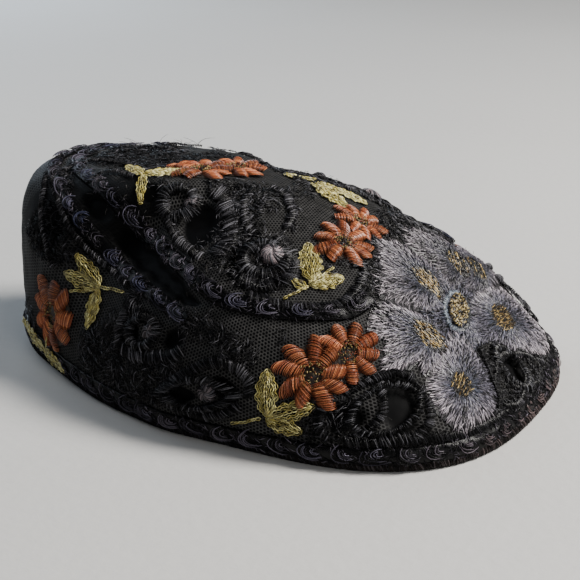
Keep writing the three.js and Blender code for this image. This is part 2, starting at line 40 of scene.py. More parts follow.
# The cap's form in millimetres, as in the CAD source: +X front, +Y the wearer's left, +Z up.
# A place on the cloth is a bearing (degrees round from the front, negative on the wearer's
# right) and a climb (0 at the foot of the cloth, 100 at the crown point, along the cloth).
cap = {
    "backReach": 107.5, "frontReach": 87.5, "rimWidth": 142.0, "crownHeight": 68.0,
    "crownAhead": 10.85, "noseDrop": 39.0, "dropStart": -50.0, "dropPower": 2.5,
    "tuckHeight": 24.0, "foldSpread": 8.0, "puckerDepth": 0.22, "puckerWide": 13, "puckerFine": 5,
    "slack": 0.35,
}
bothSides = (1, -1)  # the wearer's right, and its mirror image on the left
# bearing, power of the rim's oval
planRows = np.array([[0, 3.2], [60, 3.2], [115, 1.6], [145, 1.6], [180, 1.85]])
# bearing, power of the upright profile, tuck of its foot
sectionRows = np.array([
    [0, 1.7, 0.01], [45, 1.85, 0.04], [90, 2.05, 0.07], [135, 2.1, 0.04], [180, 9.0, 0.01],
])
# bearing, climb, depth of the long fold between the braids at the back
foldRows = np.array([
    [88, 41, 0], [102, 42, 0.9], [118, 46, 1.8], [135, 48, 2.2], [157, 49, 2.2],
    [170, 49, 1.6], [180, 49, 1.2],
])
# bearing, climb, depth, radius of soft dents, the same on both sides
dentRows = np.array([
    [62, 66, 1.6, 15], [112, 66, 1.8, 12], [104, 30, 1.0, 11], [46, 18, 1.2, 12],
    [78, 32, -0.9, 13], [142, 68, -0.8, 11],
])
# bearing, climb of the seam between crown and band
seamRows = np.array([
    [0, 57], [30, 56], [47, 45], [73, 43], [88, 44], [112, 52], [142, 54], [180, 51],
])


def eased(rows, column, bearing):
    # value of a column, eased by a smooth step between its rows
    at = np.abs(bearing)
    stops = rows[:, 0]
    i = np.clip(np.searchsorted(stops, at, side="right") - 1, 0, len(stops) - 2)
    share = np.clip((at - stops[i]) / (stops[i + 1] - stops[i]), 0, 1)
    return rows[i, column] + (rows[i + 1, column] - rows[i, column]) * share**2 * (3 - 2 * share)


def straight(rows, column, bearing):
    # value of a column, straight between its rows
    return np.interp(np.abs(bearing), rows[:, 0], rows[:, column])


def crownLine(x):
    # height of the crown line: the crown height less a drop that grows towards the front
    drop = np.clip((x - cap["dropStart"]) / (cap["frontReach"] - cap["dropStart"]), 0, 1)
    return cap["crownHeight"] - cap["noseDrop"] * drop ** cap["dropPower"]


def footTuck(bearing, z):
    # share of the plan size left at a height: the foot of the cloth tucks in
    return 1 - eased(sectionRows, 2, bearing) * np.maximum(1 - z / cap["tuckHeight"], 0) ** 2


def formPoint(bearing, rise):
    # superellipse in plan and a superellipse profile up to the crown line, by angle of rise
    c, s = np.cos(np.radians(bearing)), np.sin(np.radians(bearing))
    plan, power = eased(planRows, 1, bearing), eased(sectionRows, 1, bearing)
    reach = np.where(c < 0, cap["backReach"], cap["frontReach"])
    rim = (np.abs(c / reach) ** plan + np.abs(s / (cap["rimWidth"] / 2)) ** plan) ** (-1 / plan)
    out = rim * np.maximum(np.cos(np.radians(rise)), 0) ** (2 / power)
    z = crownLine(out * c) * np.maximum(np.sin(np.radians(rise)), 0) ** (2 / power)
    tuck = footTuck(bearing, z)
    return np.stack([out * c * tuck + cap["crownAhead"], out * s * tuck, z], -1)


def bearingOf(point):
    return np.degrees(np.arctan2(point[..., 1], point[..., 0] - cap["crownAhead"]))


def formField(point):
    # below 0 inside the smooth form, above 0 outside it
    x, y = point[..., 0] - cap["crownAhead"], point[..., 1]
    z = np.maximum(point[..., 2], 0)
    bearing = bearingOf(point)
    tuck = footTuck(bearing, z)
    plan, power = eased(planRows, 1, bearing), eased(sectionRows, 1, bearing)
    reach = np.where(x < 0, cap["backReach"], cap["frontReach"])
    along = np.abs(x / tuck / reach) ** plan
    share = (along + np.abs(y / tuck / (cap["rimWidth"] / 2)) ** plan) ** (1 / plan)
    return (share**power + (z / crownLine(x / tuck)) ** power) ** (1 / power) - 1


def unit(vectors):
    return vectors / np.maximum(np.linalg.norm(vectors, axis=-1, keepdims=True), 1e-9)


def arcLengths(points):
    # length of a path up to each of its points
    steps = np.linalg.norm(np.diff(points, axis=0), axis=1)
    return np.concatenate([[0], np.cumsum(steps)])


def wayOut(point):
    # unit slope of the field, by central differences of 0.05 mm
    step = 0.05 * np.eye(3)
    slope = [formField(point + step[i]) - formField(point - step[i]) for i in range(3)]
    return unit(np.stack(slope, -1))


# Table of the smooth form over bearing and climb
perDegree, perClimb = 2, 4
tableBearings = np.linspace(-180, 180, 360 * perDegree + 1)
tableClimbs = np.linspace(0, 100, 100 * perClimb + 1)


def skinTable():
    # each upright profile is measured along its arc and laid out at even climbs, from samples
    # that crowd together at its foot and at the crown
    samples, crowding = 321, 3.5
    u = np.linspace(0, 1, samples)
    half = 0.5 * (2 * np.minimum(u, 1 - u)) ** crowding
    points = formPoint(tableBearings[:, None], 90 * np.where(u < 0.5, half, 1 - half)[None])
    steps = np.linalg.norm(np.diff(points, axis=1), axis=-1)
    arcs = np.concatenate([np.zeros((len(points), 1)), np.cumsum(steps, 1)], 1)
    rows = []
    for arc, row in zip(arcs, points):
        rows.append([np.interp(tableClimbs / 100 * arc[-1], arc, row[:, k]) for k in range(3)])
    return np.array(rows).transpose(0, 2, 1), arcs[:, -1]


skin, skinLength = skinTable()


def climbPoint(bearing, climb):
    # point of the smooth form at a bearing and a climb, straight between the table's points
    bearing, climb = np.broadcast_arrays(np.asarray(bearing, float), np.asarray(climb, float))
    wrapped = (bearing + 180) % 360
    a, b = wrapped * perDegree, np.clip(climb, 0, 100) * perClimb
    i = np.minimum(a.astype(int), 360 * perDegree - 1)
    j = np.minimum(b.astype(int), 100 * perClimb - 1)
    s, t = (a - i)[..., None], (b - j)[..., None]
    low = skin[i, j] * (1 - s) + skin[i + 1, j] * s
    high = skin[i, j + 1] * (1 - s) + skin[i + 1, j + 1] * s
    return low * (1 - t) + high * t


def lengthAt(bearing):
    return np.interp((np.asarray(bearing) + 180) % 360 - 180, tableBearings, skinLength)


def ripple(point, wave, seed, waves=6):
    # smooth noise from about -1 to 1: crossed sine waves of about one wavelength
    draw = np.random.default_rng(seed)
    total = 0
    for _ in range(waves):
        way = unit(draw.normal(size=3)) * draw.uniform(0.7, 1.5) / wave
        total = total + np.sin(2 * np.pi * (point @ way + draw.uniform()))
    return total / 3


def pressedIn(point):
    # depth of the fold, the dents and the cloth's own puckers
    bearing = bearingOf(point)
    foldPoint = climbPoint(bearing, straight(foldRows, 1, bearing))
    inwards = np.hypot(point[..., 0], point[..., 1]) - np.hypot(foldPoint[..., 0], foldPoint[..., 1])
    away = np.hypot(point[..., 2] - foldPoint[..., 2], inwards)
    depth = straight(foldRows, 2, bearing) * np.exp(-((away / cap["foldSpread"]) ** 2))
    for dentBearing, dentClimb, dentDepth, radius in dentRows:
        for side in (-1, 1):
            far = np.linalg.norm(climbPoint(side * dentBearing, dentClimb) - point, axis=-1)
            depth = depth + dentDepth * np.exp(-((far / radius) ** 2))
    puckers = ripple(point, cap["puckerWide"], 3) + 0.5 * ripple(point, cap["puckerFine"], 4)
    return depth + cap["slack"] + cap["puckerDepth"] * puckers


def onCloth(point, offset):
    # points lifted off the folded cloth, with the way out at each
    out = wayOut(point)
    return point + out * (offset - pressedIn(point))[..., None], out


def settle(inner, aim, furthest=3.0, halvings=20):
    # where rays from inside the cap meet the smooth form, by halving the share of each ray
    ray = aim - inner
    near = np.zeros(aim.shape[:-1])
    far = np.full(aim.shape[:-1], furthest)
    for _ in range(halvings):
        middle = (near + far) / 2
        inside = formField(inner + ray * middle[..., None]) < 0
        near, far = np.where(inside, middle, near), np.where(inside, far, middle)
    return inner + ray * near[..., None]


def mirrored(spot, side):
    # a place of bearing and climb on the wearer's right, or its mirror image on the left
    return side * spot[0], spot[1]


def clothAxes(at, toward):
    # axes on the cloth at a place: right across it, up towards a second place, and out of it
    origin = climbPoint(*at)
    out = wayOut(origin)
    up = climbPoint(*toward) - origin
    up = unit(up - out * (up @ out))
    return origin, np.cross(up, out), up, out


frameDepth = 45.0  # how far under the cloth the rays of a local frame start
runDepth = 22.0  # the same for the rays of a run along the cloth


def localFrame(bearing, climb, toward):
    # mapper from (right, up, offset) about a place to points on the cloth, by rays from inside
    origin, right, up, out = clothAxes((bearing, climb), toward)
    inner = origin - frameDepth * out

    def place(u, v, offset):
        u, v, offset = np.broadcast_arrays(u, v, offset)
        aim = origin + right * u[..., None] + up * v[..., None]
        return onCloth(settle(inner, aim), offset)

    return place


def sided(row, side):
    # frame of a table row on the wearer's right (side 1), or mirrored on the left (side -1)
    place = localFrame(*mirrored(row["at"], side), mirrored(row["toward"], side))
    return lambda u, v, offset: place(side * np.asarray(u, float), v, offset)


def outlineIn(at, toward, places):
    # places of bearing and climb as plane places in a local frame, by the same rays
    origin, right, up, out = clothAxes(at, toward)
    inner = origin - frameDepth * out
    ray = climbPoint(*np.array(places, float).T) - inner
    aim = ray * (frameDepth / (ray @ out))[:, None]
    return np.stack([aim @ right, aim @ up], -1)


def polarReach(outline, centre):
    # reach of an outline from a point inside it, as a function of the angle
    away = outline - centre
    angle = np.arctan2(away[:, 1], away[:, 0])
    order = np.argsort(angle)
    angle, reach = angle[order], np.linalg.norm(away, axis=1)[order]
    return lambda at: np.interp(at, angle, reach, period=2 * np.pi)


def roundOutline(reach, samples, size=1.0):
    # angles round an outline, and the length along it up to each
    fine = np.linspace(0, 2 * np.pi, samples)
    spots = np.stack([reach(fine) * np.cos(fine), reach(fine) * np.sin(fine)], -1) * size
    return fine, arcLengths(spots)


def evenTurns(fine, arc, count, loose):
    # angles evenly spaced along an outline, each moved by up to a share of the spacing
    spread = (np.arange(count) + rng.uniform(-loose, loose, count)) % count / count
    return np.interp(spread * arc[-1], arc, fine)


def clothRun(run, step, closed=False):
    # mapper from (along, across, offset) of a run on the cloth to points, with the run's length
    centres = climbPoint(run[:, 0], run[:, 1])
    arc = arcLengths(centres)

    def follow(at):
        return np.stack([np.interp(at, arc, centres[:, k]) for k in range(3)], -1)

    def place(along, across, offset):
        along, across, offset = np.broadcast_arrays(along, across, offset)
        along = along % arc[-1] if closed else np.clip(along, 0, arc[-1])
        centre = follow(along)
        ahead = follow(along + step) - follow(along - step)
        out = wayOut(centre)
        beside = unit(np.cross(ahead, out))
        return onCloth(settle(centre - runDepth * out, centre + beside * across[..., None]), offset)

    return place, arc[-1]


def averaged(padded, window, mode):
    # moving average of a run of places, weighted by a raised cosine
    kernel = np.hanning(window) / np.hanning(window).sum()
    return np.stack([np.convolve(padded[:, k], kernel, mode) for k in range(2)], -1)


def dyeAndPaintedLight(*levels):
    # linear colour from screen levels of 0 to 255
    share = np.array(levels, float) / 255
    return np.where(share <= 0.04045, share / 12.92, ((share + 0.055) / 1.055) ** 2.4)


def mixed(first, second, share):
    # colours between two colours by a share from 0 to 1
    share = np.clip(np.asarray(share, float), 0, 1)[..., None]
    return first * (1 - share) + second * share


def strands(paths, ups, width, height, colours, sides=3, ends=0.3):
    # threads: a ring of corners round every point of every path, drawn in at both ends; the
    # thread map holds the length along each thread and the share of the way round it
    n, k = paths.shape[:2]
    tangent = unit(np.gradient(paths, axis=1))
    across = unit(np.cross(tangent, ups))
    up = np.cross(across, tangent)
    taper = np.ones(k)
    taper[[0, -1]] = ends
    wide = np.broadcast_to(np.asarray(width, float).reshape(-1, 1), (n, 1)) / 2 * taper
    tall = np.broadcast_to(np.asarray(height, float).reshape(-1, 1), (n, 1)) / 2 * taper
    angle = 2 * np.pi * np.arange(sides) / sides + np.pi / 2
    ring = paths[:, :, None] + across[:, :, None] * (np.cos(angle) * wide[..., None])[..., None]
    ring = ring + up[:, :, None] * (np.sin(angle) * tall[..., None])[..., None]
    index = np.arange(n * k * sides).reshape(n, k, sides)
    turned = np.roll(index, -1, axis=2)
    first, second = index[:, :-1], index[:, 1:]
    quads = np.stack([first, turned[:, :-1], turned[:, 1:], second], -1).reshape(-1, 4)
    caps = np.concatenate([index[:, 0, ::-1], index[:, -1]])
    colours = np.asarray(colours, float)
    if colours.ndim == 2:
        colours = np.repeat(colours[:, None], k, axis=1)
    colours = np.repeat(colours[:, :, None], sides, axis=2).reshape(-1, 3)
    lengths = np.linalg.norm(np.diff(paths, axis=1), axis=-1)
    along = np.concatenate([np.zeros((n, 1)), np.cumsum(lengths, 1)], 1)
    uv = np.stack(np.broadcast_arrays(along[:, :, None], np.arange(sides) / sides), -1)
    return ring.reshape(-1, 3), [quads, caps], colours, uv.reshape(-1, 2)


def grid(points, colours, uv, closedU=False, closedV=False, pole=False):
    # surface over a grid of points, one face for each cell, and a fan to a pole past its last
    # row, whose place, colour and map are that row's mean
    rows, columns = points.shape[:2]
    index = np.arange(rows * columns).reshape(rows, columns)
    if closedU:
        index = np.concatenate([index, index[:1]], 0)
    if closedV:
        index = np.concatenate([index, index[:, :1]], 1)
    corners = [index[:-1, :-1], index[:-1, 1:], index[1:, 1:], index[1:, :-1]]
    quads = np.stack(corners, -1).reshape(-1, 4)
    colours = np.broadcast_to(colours, (rows, columns, 3)).reshape(-1, 3)
    uv = np.broadcast_to(uv, (rows, columns, 2)).reshape(-1, 2)
    if not pole:
        return points.reshape(-1, 3), [quads], colours, uv
    last = index[-1]
    fan = np.stack([last[:-1], last[1:], np.full(len(last) - 1, rows * columns)], -1)
    spots = np.concatenate([points.reshape(-1, 3), points[-1].mean(0, keepdims=True)])
    colours = np.concatenate([colours, colours[-1:]])
    return spots, [quads, fan], colours, np.concatenate([uv, uv[-columns:].mean(0, keepdims=True)])


def makePiece(name, parts, material, nodes=()):
    # one mesh from many parts: vertices, faces, a colour on each vertex (the thread colour with painted
    # highlights and painted shade) and a thread map
    starts = np.cumsum([0] + [len(part[0]) for part in parts])
    points = np.concatenate([part[0] for part in parts]) * millimetre
    faces = [block + start for part, start in zip(parts, starts) for block in part[1]]
    loops = np.concatenate([block.ravel() for block in faces])
    sizes = np.concatenate([np.full(len(block), block.shape[1]) for block in faces])
    mesh = bpy.data.meshes.new(name)
    mesh.vertices.add(len(points))
    mesh.vertices.foreach_set("co", points.ravel().astype(np.float32))
    mesh.loops.add(len(loops))
    mesh.loops.foreach_set("vertex_index", loops.astype(np.int32))
    mesh.polygons.add(len(sizes))
    mesh.polygons.foreach_set("loop_start", (np.cumsum(sizes) - sizes).astype(np.int32))
    mesh.update(calc_edges=True)
    colours = np.concatenate([part[2] for part in parts])
    colours = np.concatenate([colours, np.ones((len(colours), 1))], 1).astype(np.float32)
    mesh.attributes.new("dyeAndPaintedLight", "FLOAT_COLOR", "POINT").data.foreach_set("color", colours.ravel())
    uv = np.concatenate([part[3] for part in parts])[loops].astype(np.float32)
    mesh.uv_layers.new(name="threadMap").data.foreach_set("uv", uv.ravel())
    mesh.shade_smooth()
    mesh.validate()
    mesh.materials.append(material)
    piece = bpy.data.objects.new(name, mesh)
    bpy.context.scene.collection.objects.link(piece)
    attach(piece, "root")
    if nodes:
        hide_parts(*nodes)
    return piece


# Shader helpers: a wire is a socket that takes part in sums
class Wire:
    def __init__(self, bench, socket):
        self.bench = bench
        self.socket = socket

    def sum(self, operation, *others):
        values = {i: value for i, value in enumerate((self, *others))}
        return self.bench.node("ShaderNodeMath", {"operation": operation}, values)

    def flipped(self, operation, other):
        return self.bench.node("ShaderNodeMath", {"operation": operation}, {0: other, 1: self})

    def __add__(self, other):
        return self.sum("ADD", other)

    def __radd__(self, other):
        return self.flipped("ADD", other)

    def __sub__(self, other):
        return self.sum("SUBTRACT", other)

    def __rsub__(self, other):
        return self.flipped("SUBTRACT", other)

    def __mul__(self, other):
        return self.sum("MULTIPLY", other)

    def __rmul__(self, other):
        return self.flipped("MULTIPLY", other)


class Bench:
    # a material's node tree, with one method that adds any node
    def __init__(self, name, **surface):
        self.material = bpy.data.materials.new(name)
        self.material.use_nodes = True
        self.tree = self.material.node_tree
        self.shader = self.tree.nodes["Principled BSDF"]
        for socket, value in surface.items():
            self.shader.inputs[socket.replace("_", " ")].default_value = value

    def node(self, kind, settings=None, values=None, out=0):
        made = self.tree.nodes.new(kind)
        for name, value in (settings or {}).items():
            setattr(made, name, value)
        for name, value in (values or {}).items():
            if isinstance(value, Wire):
                self.tree.links.new(value.socket, made.inputs[name])
            else:
                made.inputs[name].default_value = value
        return Wire(self, made.outputs[out])

    def mix(self, share, first, second):
        settings = {"data_type": "RGBA"}
        return self.node("ShaderNodeMix", settings, {0: share, 6: first, 7: second}, out=2)

    def noise(self, place, scale, detail=2.0):
        values = {"Vector": place, "Scale": scale, "Detail": detail}
        return self.node("ShaderNodeTexNoise", None, values)

    def feed(self, **wires):
        for socket, wire in wires.items():
            self.tree.links.new(wire.socket, self.shader.inputs[socket.replace("_", " ")])
        return self.material

    def bump(self, height, strength, distance):
        values = {"Height": height, "Strength": strength, "Distance": distance}
        return self.node("ShaderNodeBump", None, values)

    def objectPlace(self):
        return self.node("ShaderNodeTexCoord", out=3)

    def threadMap(self):
        return self.node("ShaderNodeUVMap", {"uv_map": "threadMap"})

    def attribute(self, name, out=0):
        return self.node("ShaderNodeAttribute", {"attribute_name": name}, out=out)

    def parted(self, place, count):
        # the first values of a vector, each as a wire of its own
        return [self.node("ShaderNodeSeparateXYZ", None, {0: place}, out=i) for i in range(count)]


plyLook = {"twist": 7.0, "plies": 2.0, "height": 0.0001, "mottle": 900.0}
fullTurn = 6.283


def flossMaterial(name, roughness, specular):
    # floss: the colour on each vertex, thread colour with painted highlights and painted shade, mottled a
    # little, with the ply of the yarn twisted along the thread
    bench = Bench(name, Specular_IOR_Level=specular)
    mottle = bench.noise(bench.objectPlace(), plyLook["mottle"])
    colour = bench.mix(mottle * 0.5, bench.attribute("dyeAndPaintedLight"), (0.0, 0.0, 0.0, 1.0))
    along, across = bench.parted(bench.threadMap(), 2)
    turned = along * plyLook["twist"] + across * fullTurn * plyLook["plies"]
    ply = (turned.sum("SINE") + 1.0) * 0.5
    rough = mottle * 0.2 + (roughness - 0.1)
    normal = bench.bump(ply, 0.35, plyLook["height"])
    return bench.feed(Base_Color=colour, Roughness=rough, Normal=normal)


netLook = {
    "pitch": 1.12, "rowShare": 0.866, "holeSize": 0.45, "holeEdge": 1.6, "relief": 0.0004,
    "threadDark": (0.003, 0.003, 0.003, 1), "threadLight": (0.058, 0.057, 0.056, 1),
    "groundDark": (0.0004, 0.0004, 0.0005, 1), "groundLight": (0.001, 0.0011, 0.0014, 1),
}


def netMaterial():
    # hexagonal net: three crossed cosine waves; the tops are holes that show the ground cloth
    look = netLook
    bench = Bench("black net", Specular_IOR_Level=0.06)
    u, v = bench.parted(bench.threadMap(), 2)
    turn = 2 * np.pi / (look["pitch"] * look["rowShare"])
    first = (u * turn).sum("COSINE")
    second = (u * (0.5 * turn) + v * (look["rowShare"] * turn)).sum("COSINE")
    third = (u * (-0.5 * turn) + v * (look["rowShare"] * turn)).sum("COSINE")
    waves = first + second + third
    hole = ((waves + look["holeSize"]) * look["holeEdge"]).sum("MINIMUM", 1.0).sum("MAXIMUM", 0.0)
    # the window attribute brings both the cut-work windows and the painted shade, each shown as the ground
    # cloth
    hole = hole.sum("MAXIMUM", bench.attribute("window", out=2))
    mottle = bench.noise(bench.objectPlace(), 350.0, 3.0)
    thread = bench.mix(mottle, look["threadDark"], look["threadLight"])
    ground = bench.mix(mottle, look["groundDark"], look["groundLight"])
    colour = bench.mix(hole, thread, ground)
    normal = bench.bump(1.0 - hole, 0.8, look["relief"])
    return bench.feed(Base_Color=colour, Roughness=mottle * 0.25 + 0.5, Normal=normal)


def clothMaterial(name, dark, light, rough, weave):
    # plain woven cloth: two crossed waves on the object's place, with lint in between
    bench = Bench(name, Specular_IOR_Level=0.08)
    place = bench.objectPlace()
    x, y, z = bench.parted(place, 3)
    turn = 2 * np.pi / weave
    along = ((x + z * 0.6) * turn).sum("SINE")
    across = ((y + z * 0.8) * turn).sum("SINE")
    cloth = (along * across + 1.0) * 0.5
    lint = bench.noise(place, 420.0, 4.0)
    colour = bench.mix((cloth * 0.4 + lint * 0.6), (*dark, 1), (*light, 1))
    normal = bench.bump(cloth + lint, 0.5, 0.0003)
    return bench.feed(Base_Color=colour, Roughness=lint * 0.2 + rough, Normal=normal)


blackFloss = flossMaterial("black rayon floss", 0.3, 0.13)
greyFloss = flossMaterial("grey lilac floss", 0.36, 0.4)
rustFloss = flossMaterial("rust rayon floss", 0.36, 0.36)
goldFloss = flossMaterial("olive gold floss", 0.34, 0.5)
blackNet = netMaterial()
groundCloth = clothMaterial("black ground cotton", dyeAndPaintedLight(8, 8, 11), dyeAndPaintedLight(26, 26, 31), 0.6, 0.0007)
hemCloth = clothMaterial("brown black hem", dyeAndPaintedLight(7, 6, 6), dyeAndPaintedLight(34, 30, 28), 0.7, 0.0009)
print("materials ready")

# Cut-work windows and hollows: pointed ovals where the net sinks to the plain ground cloth
windowRows = [
    {"name": "crown_hollow", "at": (-122, 65.5), "toward": (-108, 57), "long": 21, "wide": 13, "power": 2},
    {"name": "boss_hollow", "at": (-90, 56), "toward": (-96, 63), "long": 12, "wide": 6.5, "power": 1.6},
    {"name": "stem_hollow", "at": (-147, 62), "toward": (-150, 57), "long": 9, "wide": 7, "power": 1.8},
    {"name": "fold_back", "at": (-150, 48.8), "toward": (-143, 48.3), "long": 14, "wide": 8.5,
     "power": 1.6},
    {"name": "fold_middle", "at": (-139, 48.2), "toward": (-130, 46.9), "long": 15, "wide": 9,
     "power": 1.6},
    {"name": "fold_front", "at": (-119, 46), "toward": (-110, 44.5), "long": 16, "wide": 6, "power": 1.5},
    {"name": "fold_end", "at": (-101, 42), "toward": (-94, 41), "long": 11, "wide": 4, "power": 1.4},
    {"name": "fold_joint", "at": (-129, 47.6), "toward": (-120, 46), "long": 14, "wide": 8.5, "power": 1.6},
    {"name": "fold_neck", "at": (-110, 44.5), "toward": (-101, 42.5), "long": 13, "wide": 5.5,
     "power": 1.6},
    {"name": "nape", "at": (-153, 38.5), "toward": (-158, 41), "long": 13, "wide": 6.5, "power": 1.7},
    {"name": "nape_low", "at": (-152, 33), "toward": (-152, 38), "long": 9, "wide": 6, "power": 1.8},
    {"name": "side_hollow", "at": (-101, 29.5), "toward": (-96, 31), "long": 9, "wide": 7, "power": 2},
    {"name": "ring_hole", "at": (-116, 26), "toward": (-117, 32), "long": 8, "wide": 5, "power": 1.8},
    {"name": "eye_left", "at": (-95, 14), "toward": (-89, 15), "long": 12, "wide": 6, "power": 1.4},
    {"name": "eye_right", "at": (-82, 18.5), "toward": (-78, 15), "long": 10, "wide": 6.5, "power": 1.6},
    {"name": "recess_right", "at": (-40.5, 18), "toward": (-40, 26), "long": 19, "wide": 12, "power": 2.2},
    {"name": "recess_left", "at": (-53, 14.5), "toward": (-46, 16), "long": 14, "wide": 9, "power": 1.8},
    {"name": "nose_high", "sides": (1,), "at": (3, 14), "toward": (8, 10.5), "long": 13, "wide": 10,
     "power": 1.9},
    {"name": "nose_low", "sides": (1,), "at": (0, 7.2), "toward": (5, 6.5), "long": 6, "wide": 4,
     "power": 1.8},
]

# Painted shade: places where the net lies flat but takes the colour of its plain black ground, between and
# behind the braids, in the fold and at the nape
paintedShadeRows = [
    {"name": "between", "at": (-150, 48), "toward": (-135, 47), "long": 46, "wide": 25, "power": 2.2},
    {"name": "between_low", "at": (-120, 46), "toward": (-108, 44), "long": 40, "wide": 12, "power": 2},
    {"name": "eyelet_side", "at": (-148, 59), "toward": (-140, 60), "long": 24, "wide": 15, "power": 2},
    {"name": "nape", "at": (-157, 35), "toward": (-150, 36), "long": 26, "wide": 22, "power": 2},
]


def windowShare(points, rows, outer=1.2, soft=0.5):
    # 1 well inside a window and 0 outside, by the pointed oval's own measure in its frame
    share = np.zeros(points.shape[:-1])
    for row in rows:
        for side in row.get("sides", bothSides):
            origin, right, up, _ = clothAxes(mirrored(row["at"], side), mirrored(row["toward"], side))
            away = points - origin
            v, u = away @ up, away @ right
            across = np.abs(2 * u / row["wide"]) ** row["power"]
            size = across + np.abs(2 * v / row["long"]) ** row["power"]
            near = np.linalg.norm(away, axis=-1) < row["long"]
            share = np.maximum(share, np.where(near, np.clip((outer - size) / soft, 0, 1), 0))
    return share * share * (3 - 2 * share)


netSheet = {
    "columns": 360, "bandRows": 52, "crownRows": 76, "foot": 3.3, "top": 99.9, "sunk": 1.7,
    "level": 3.9, "paintedShade": 0.92, "mapRadius": 62,
}


def clothSheet(bearings, climbs):
    # sheet of cloth over rows of climbs, pressed down to the ground cloth at the windows, and left at its
    # own height near the hem; the share it returns holds the windows and the painted shade
    base = climbPoint(bearings, climbs)
    window = windowShare(base, windowRows)
    points, _ = onCloth(base, -netSheet["sunk"] * window)
    points[..., 2] = np.where(base[..., 2] < netSheet["level"], base[..., 2], points[..., 2])
    return points, np.maximum(window, netSheet["paintedShade"] * windowShare(base, paintedShadeRows))


def footClimb(bearing, height):
    # climb at which the cloth reaches a height above the rim plane
    i = np.round((np.asarray(bearing) + 180) * perDegree).astype(int) % (360 * perDegree)
    reached = np.argmax(skin[i, :, 2] >= height, axis=-1)
    below, above = skin[i, reached - 1, 2], skin[i, reached, 2]
    return tableClimbs[reached - 1] + (height - below) / (above - below) / perClimb


def crownMap(bearings, climbs):
    # flat map in millimetres: each place at its bearing, as far out as it lies from the crown
    left, turn = (1 - climbs / 100) * lengthAt(bearings), np.radians(bearings)
    return np.stack([left * np.cos(turn), left * np.sin(turn)], -1)


def addNet():
    # band from the foot to the seam and crown from the seam to the top, each with its windows
    bearings = np.linspace(-180, 180, netSheet["columns"] + 1)[:-1]
    seam = straight(seamRows, 1, bearings)
    foot = footClimb(bearings, netSheet["foot"])
    bandClimbs = foot + (seam - foot) * np.linspace(0, 1, netSheet["bandRows"])[:, None]
    crownClimbs = seam + (netSheet["top"] - seam) * np.linspace(0, 1, netSheet["crownRows"])[:, None]
    for node, climbs in (("net_band", bandClimbs), ("net_crown", crownClimbs)):
        points, window = clothSheet(bearings[None], climbs)
        crown = node == "net_crown"
        if crown:
            uv = crownMap(bearings, climbs)
        else:
            around = np.radians(bearings) * netSheet["mapRadius"]
            uv = np.stack([np.broadcast_to(around, climbs.shape), climbs / 100 * lengthAt(bearings)], -1)
        part = grid(points, dyeAndPaintedLight(30, 30, 34), uv, closedV=True, pole=crown)
        piece = makePiece(f"{node}_cloth", [part], blackNet, [node])
        # the window attribute holds the cut-work windows and the painted shade
        spare = piece.data.attributes.new("window", "FLOAT", "POINT")
        window = np.concatenate([window.ravel(), [0.0] * crown]).astype(np.float32)
        spare.data.foreach_set("value", window)


addNet()
print("net laid")

# Rolled hem with threads whipped slantwise over it
hemLook = {
    "stations": 400, "around": 12, "wide": 4.0, "tall": 3.0, "outer": 0.6, "lump": 0.12,
    "threads": 860, "slant": 1.1, "thread": 0.44, "flat": 0.36,
    "reach": np.array([-1.3, 0.1, 0.72, 0.68, -0.1]), "heights": np.array([3.35, 3.05, 2.0, 1.0, 0.28]),
    "black": dyeAndPaintedLight(6, 6, 7), "grey": dyeAndPaintedLight(84, 82, 88), "rose": dyeAndPaintedLight(116, 100, 100),
}


def rimAt(bearings):
    # points of the form's foot, and the level way out of the cap at each
    foot = formPoint(bearings, 0.0)
    out = wayOut(foot + [0, 0, 0.01])
    out[..., 2] = 0
    return foot, unit(out)


def addHem():
    # rolled hem: a soft round section carried round the rim, a little uneven
    look = hemLook
    bearings = np.linspace(-180, 180, look["stations"] + 1)[:-1]
    foot, out = rimAt(bearings)
    turn = 2 * np.pi * np.arange(look["around"]) / look["around"]
    middle = look["outer"] - look["wide"] / 2
    across = middle + np.sign(np.cos(turn)) * np.abs(np.cos(turn)) ** 0.7 * look["wide"] / 2
    up = look["tall"] / 2 + np.sign(np.sin(turn)) * np.abs(np.sin(turn)) ** 0.6 * look["tall"] / 2
    lumps = look["lump"] * ripple(foot, 7, 21)[:, None] * np.maximum(np.sin(turn), 0)
    points = foot[:, None] + out[:, None] * (across + lumps)[..., None]
    points[..., 2] = up
    uv = np.stack(np.broadcast_arrays(np.radians(bearings)[:, None] * 70, turn[None] * 1.5), -1)
    part = grid(points, dyeAndPaintedLight(30, 28, 28), uv, closedU=True, closedV=True)
    makePiece("hem_roll", [part], hemCloth, ["rim_binding"])


def addHemThreads():
    # black threads over the hem, from above it to just under it, greyer and rosier at the nose
    look = hemLook
    count = look["threads"]
    start = -180 + 360 * (np.arange(count) + rng.uniform(-0.35, 0.35, count)) / count
    at = start[:, None] + (look["slant"] + rng.normal(0, 0.5, (count, 1))) * np.linspace(0, 1, 5)[None]
    foot, out = rimAt((at + 180) % 360 - 180)
    reach = look["reach"] + rng.uniform(-0.1, 0.12, (count, 1))
    path = foot + out * reach[..., None]
    path[..., 2] = look["heights"] + rng.uniform(-0.06, 0.1, (count, 1))
    ups = unit(out * (reach[..., None] + 1.4) + [0, 0, 1] * (path[..., 2:] - 1.5))
    tone = rng.uniform(0, 1, count) ** 3
    rose = np.clip(1.4 - np.abs(start) / 45, 0, 1)
    light = mixed(look["grey"], look["rose"], rose)
    colour = mixed(look["black"], light, tone * (0.5 + 0.5 * rose))
    width = look["thread"] * rng.uniform(0.8, 1.2, count)
    makePiece("hem_threads", [strands(path, ups, width, look["flat"], colour)], blackFloss)


addHem()
addHemThreads()
print("hem rolled")
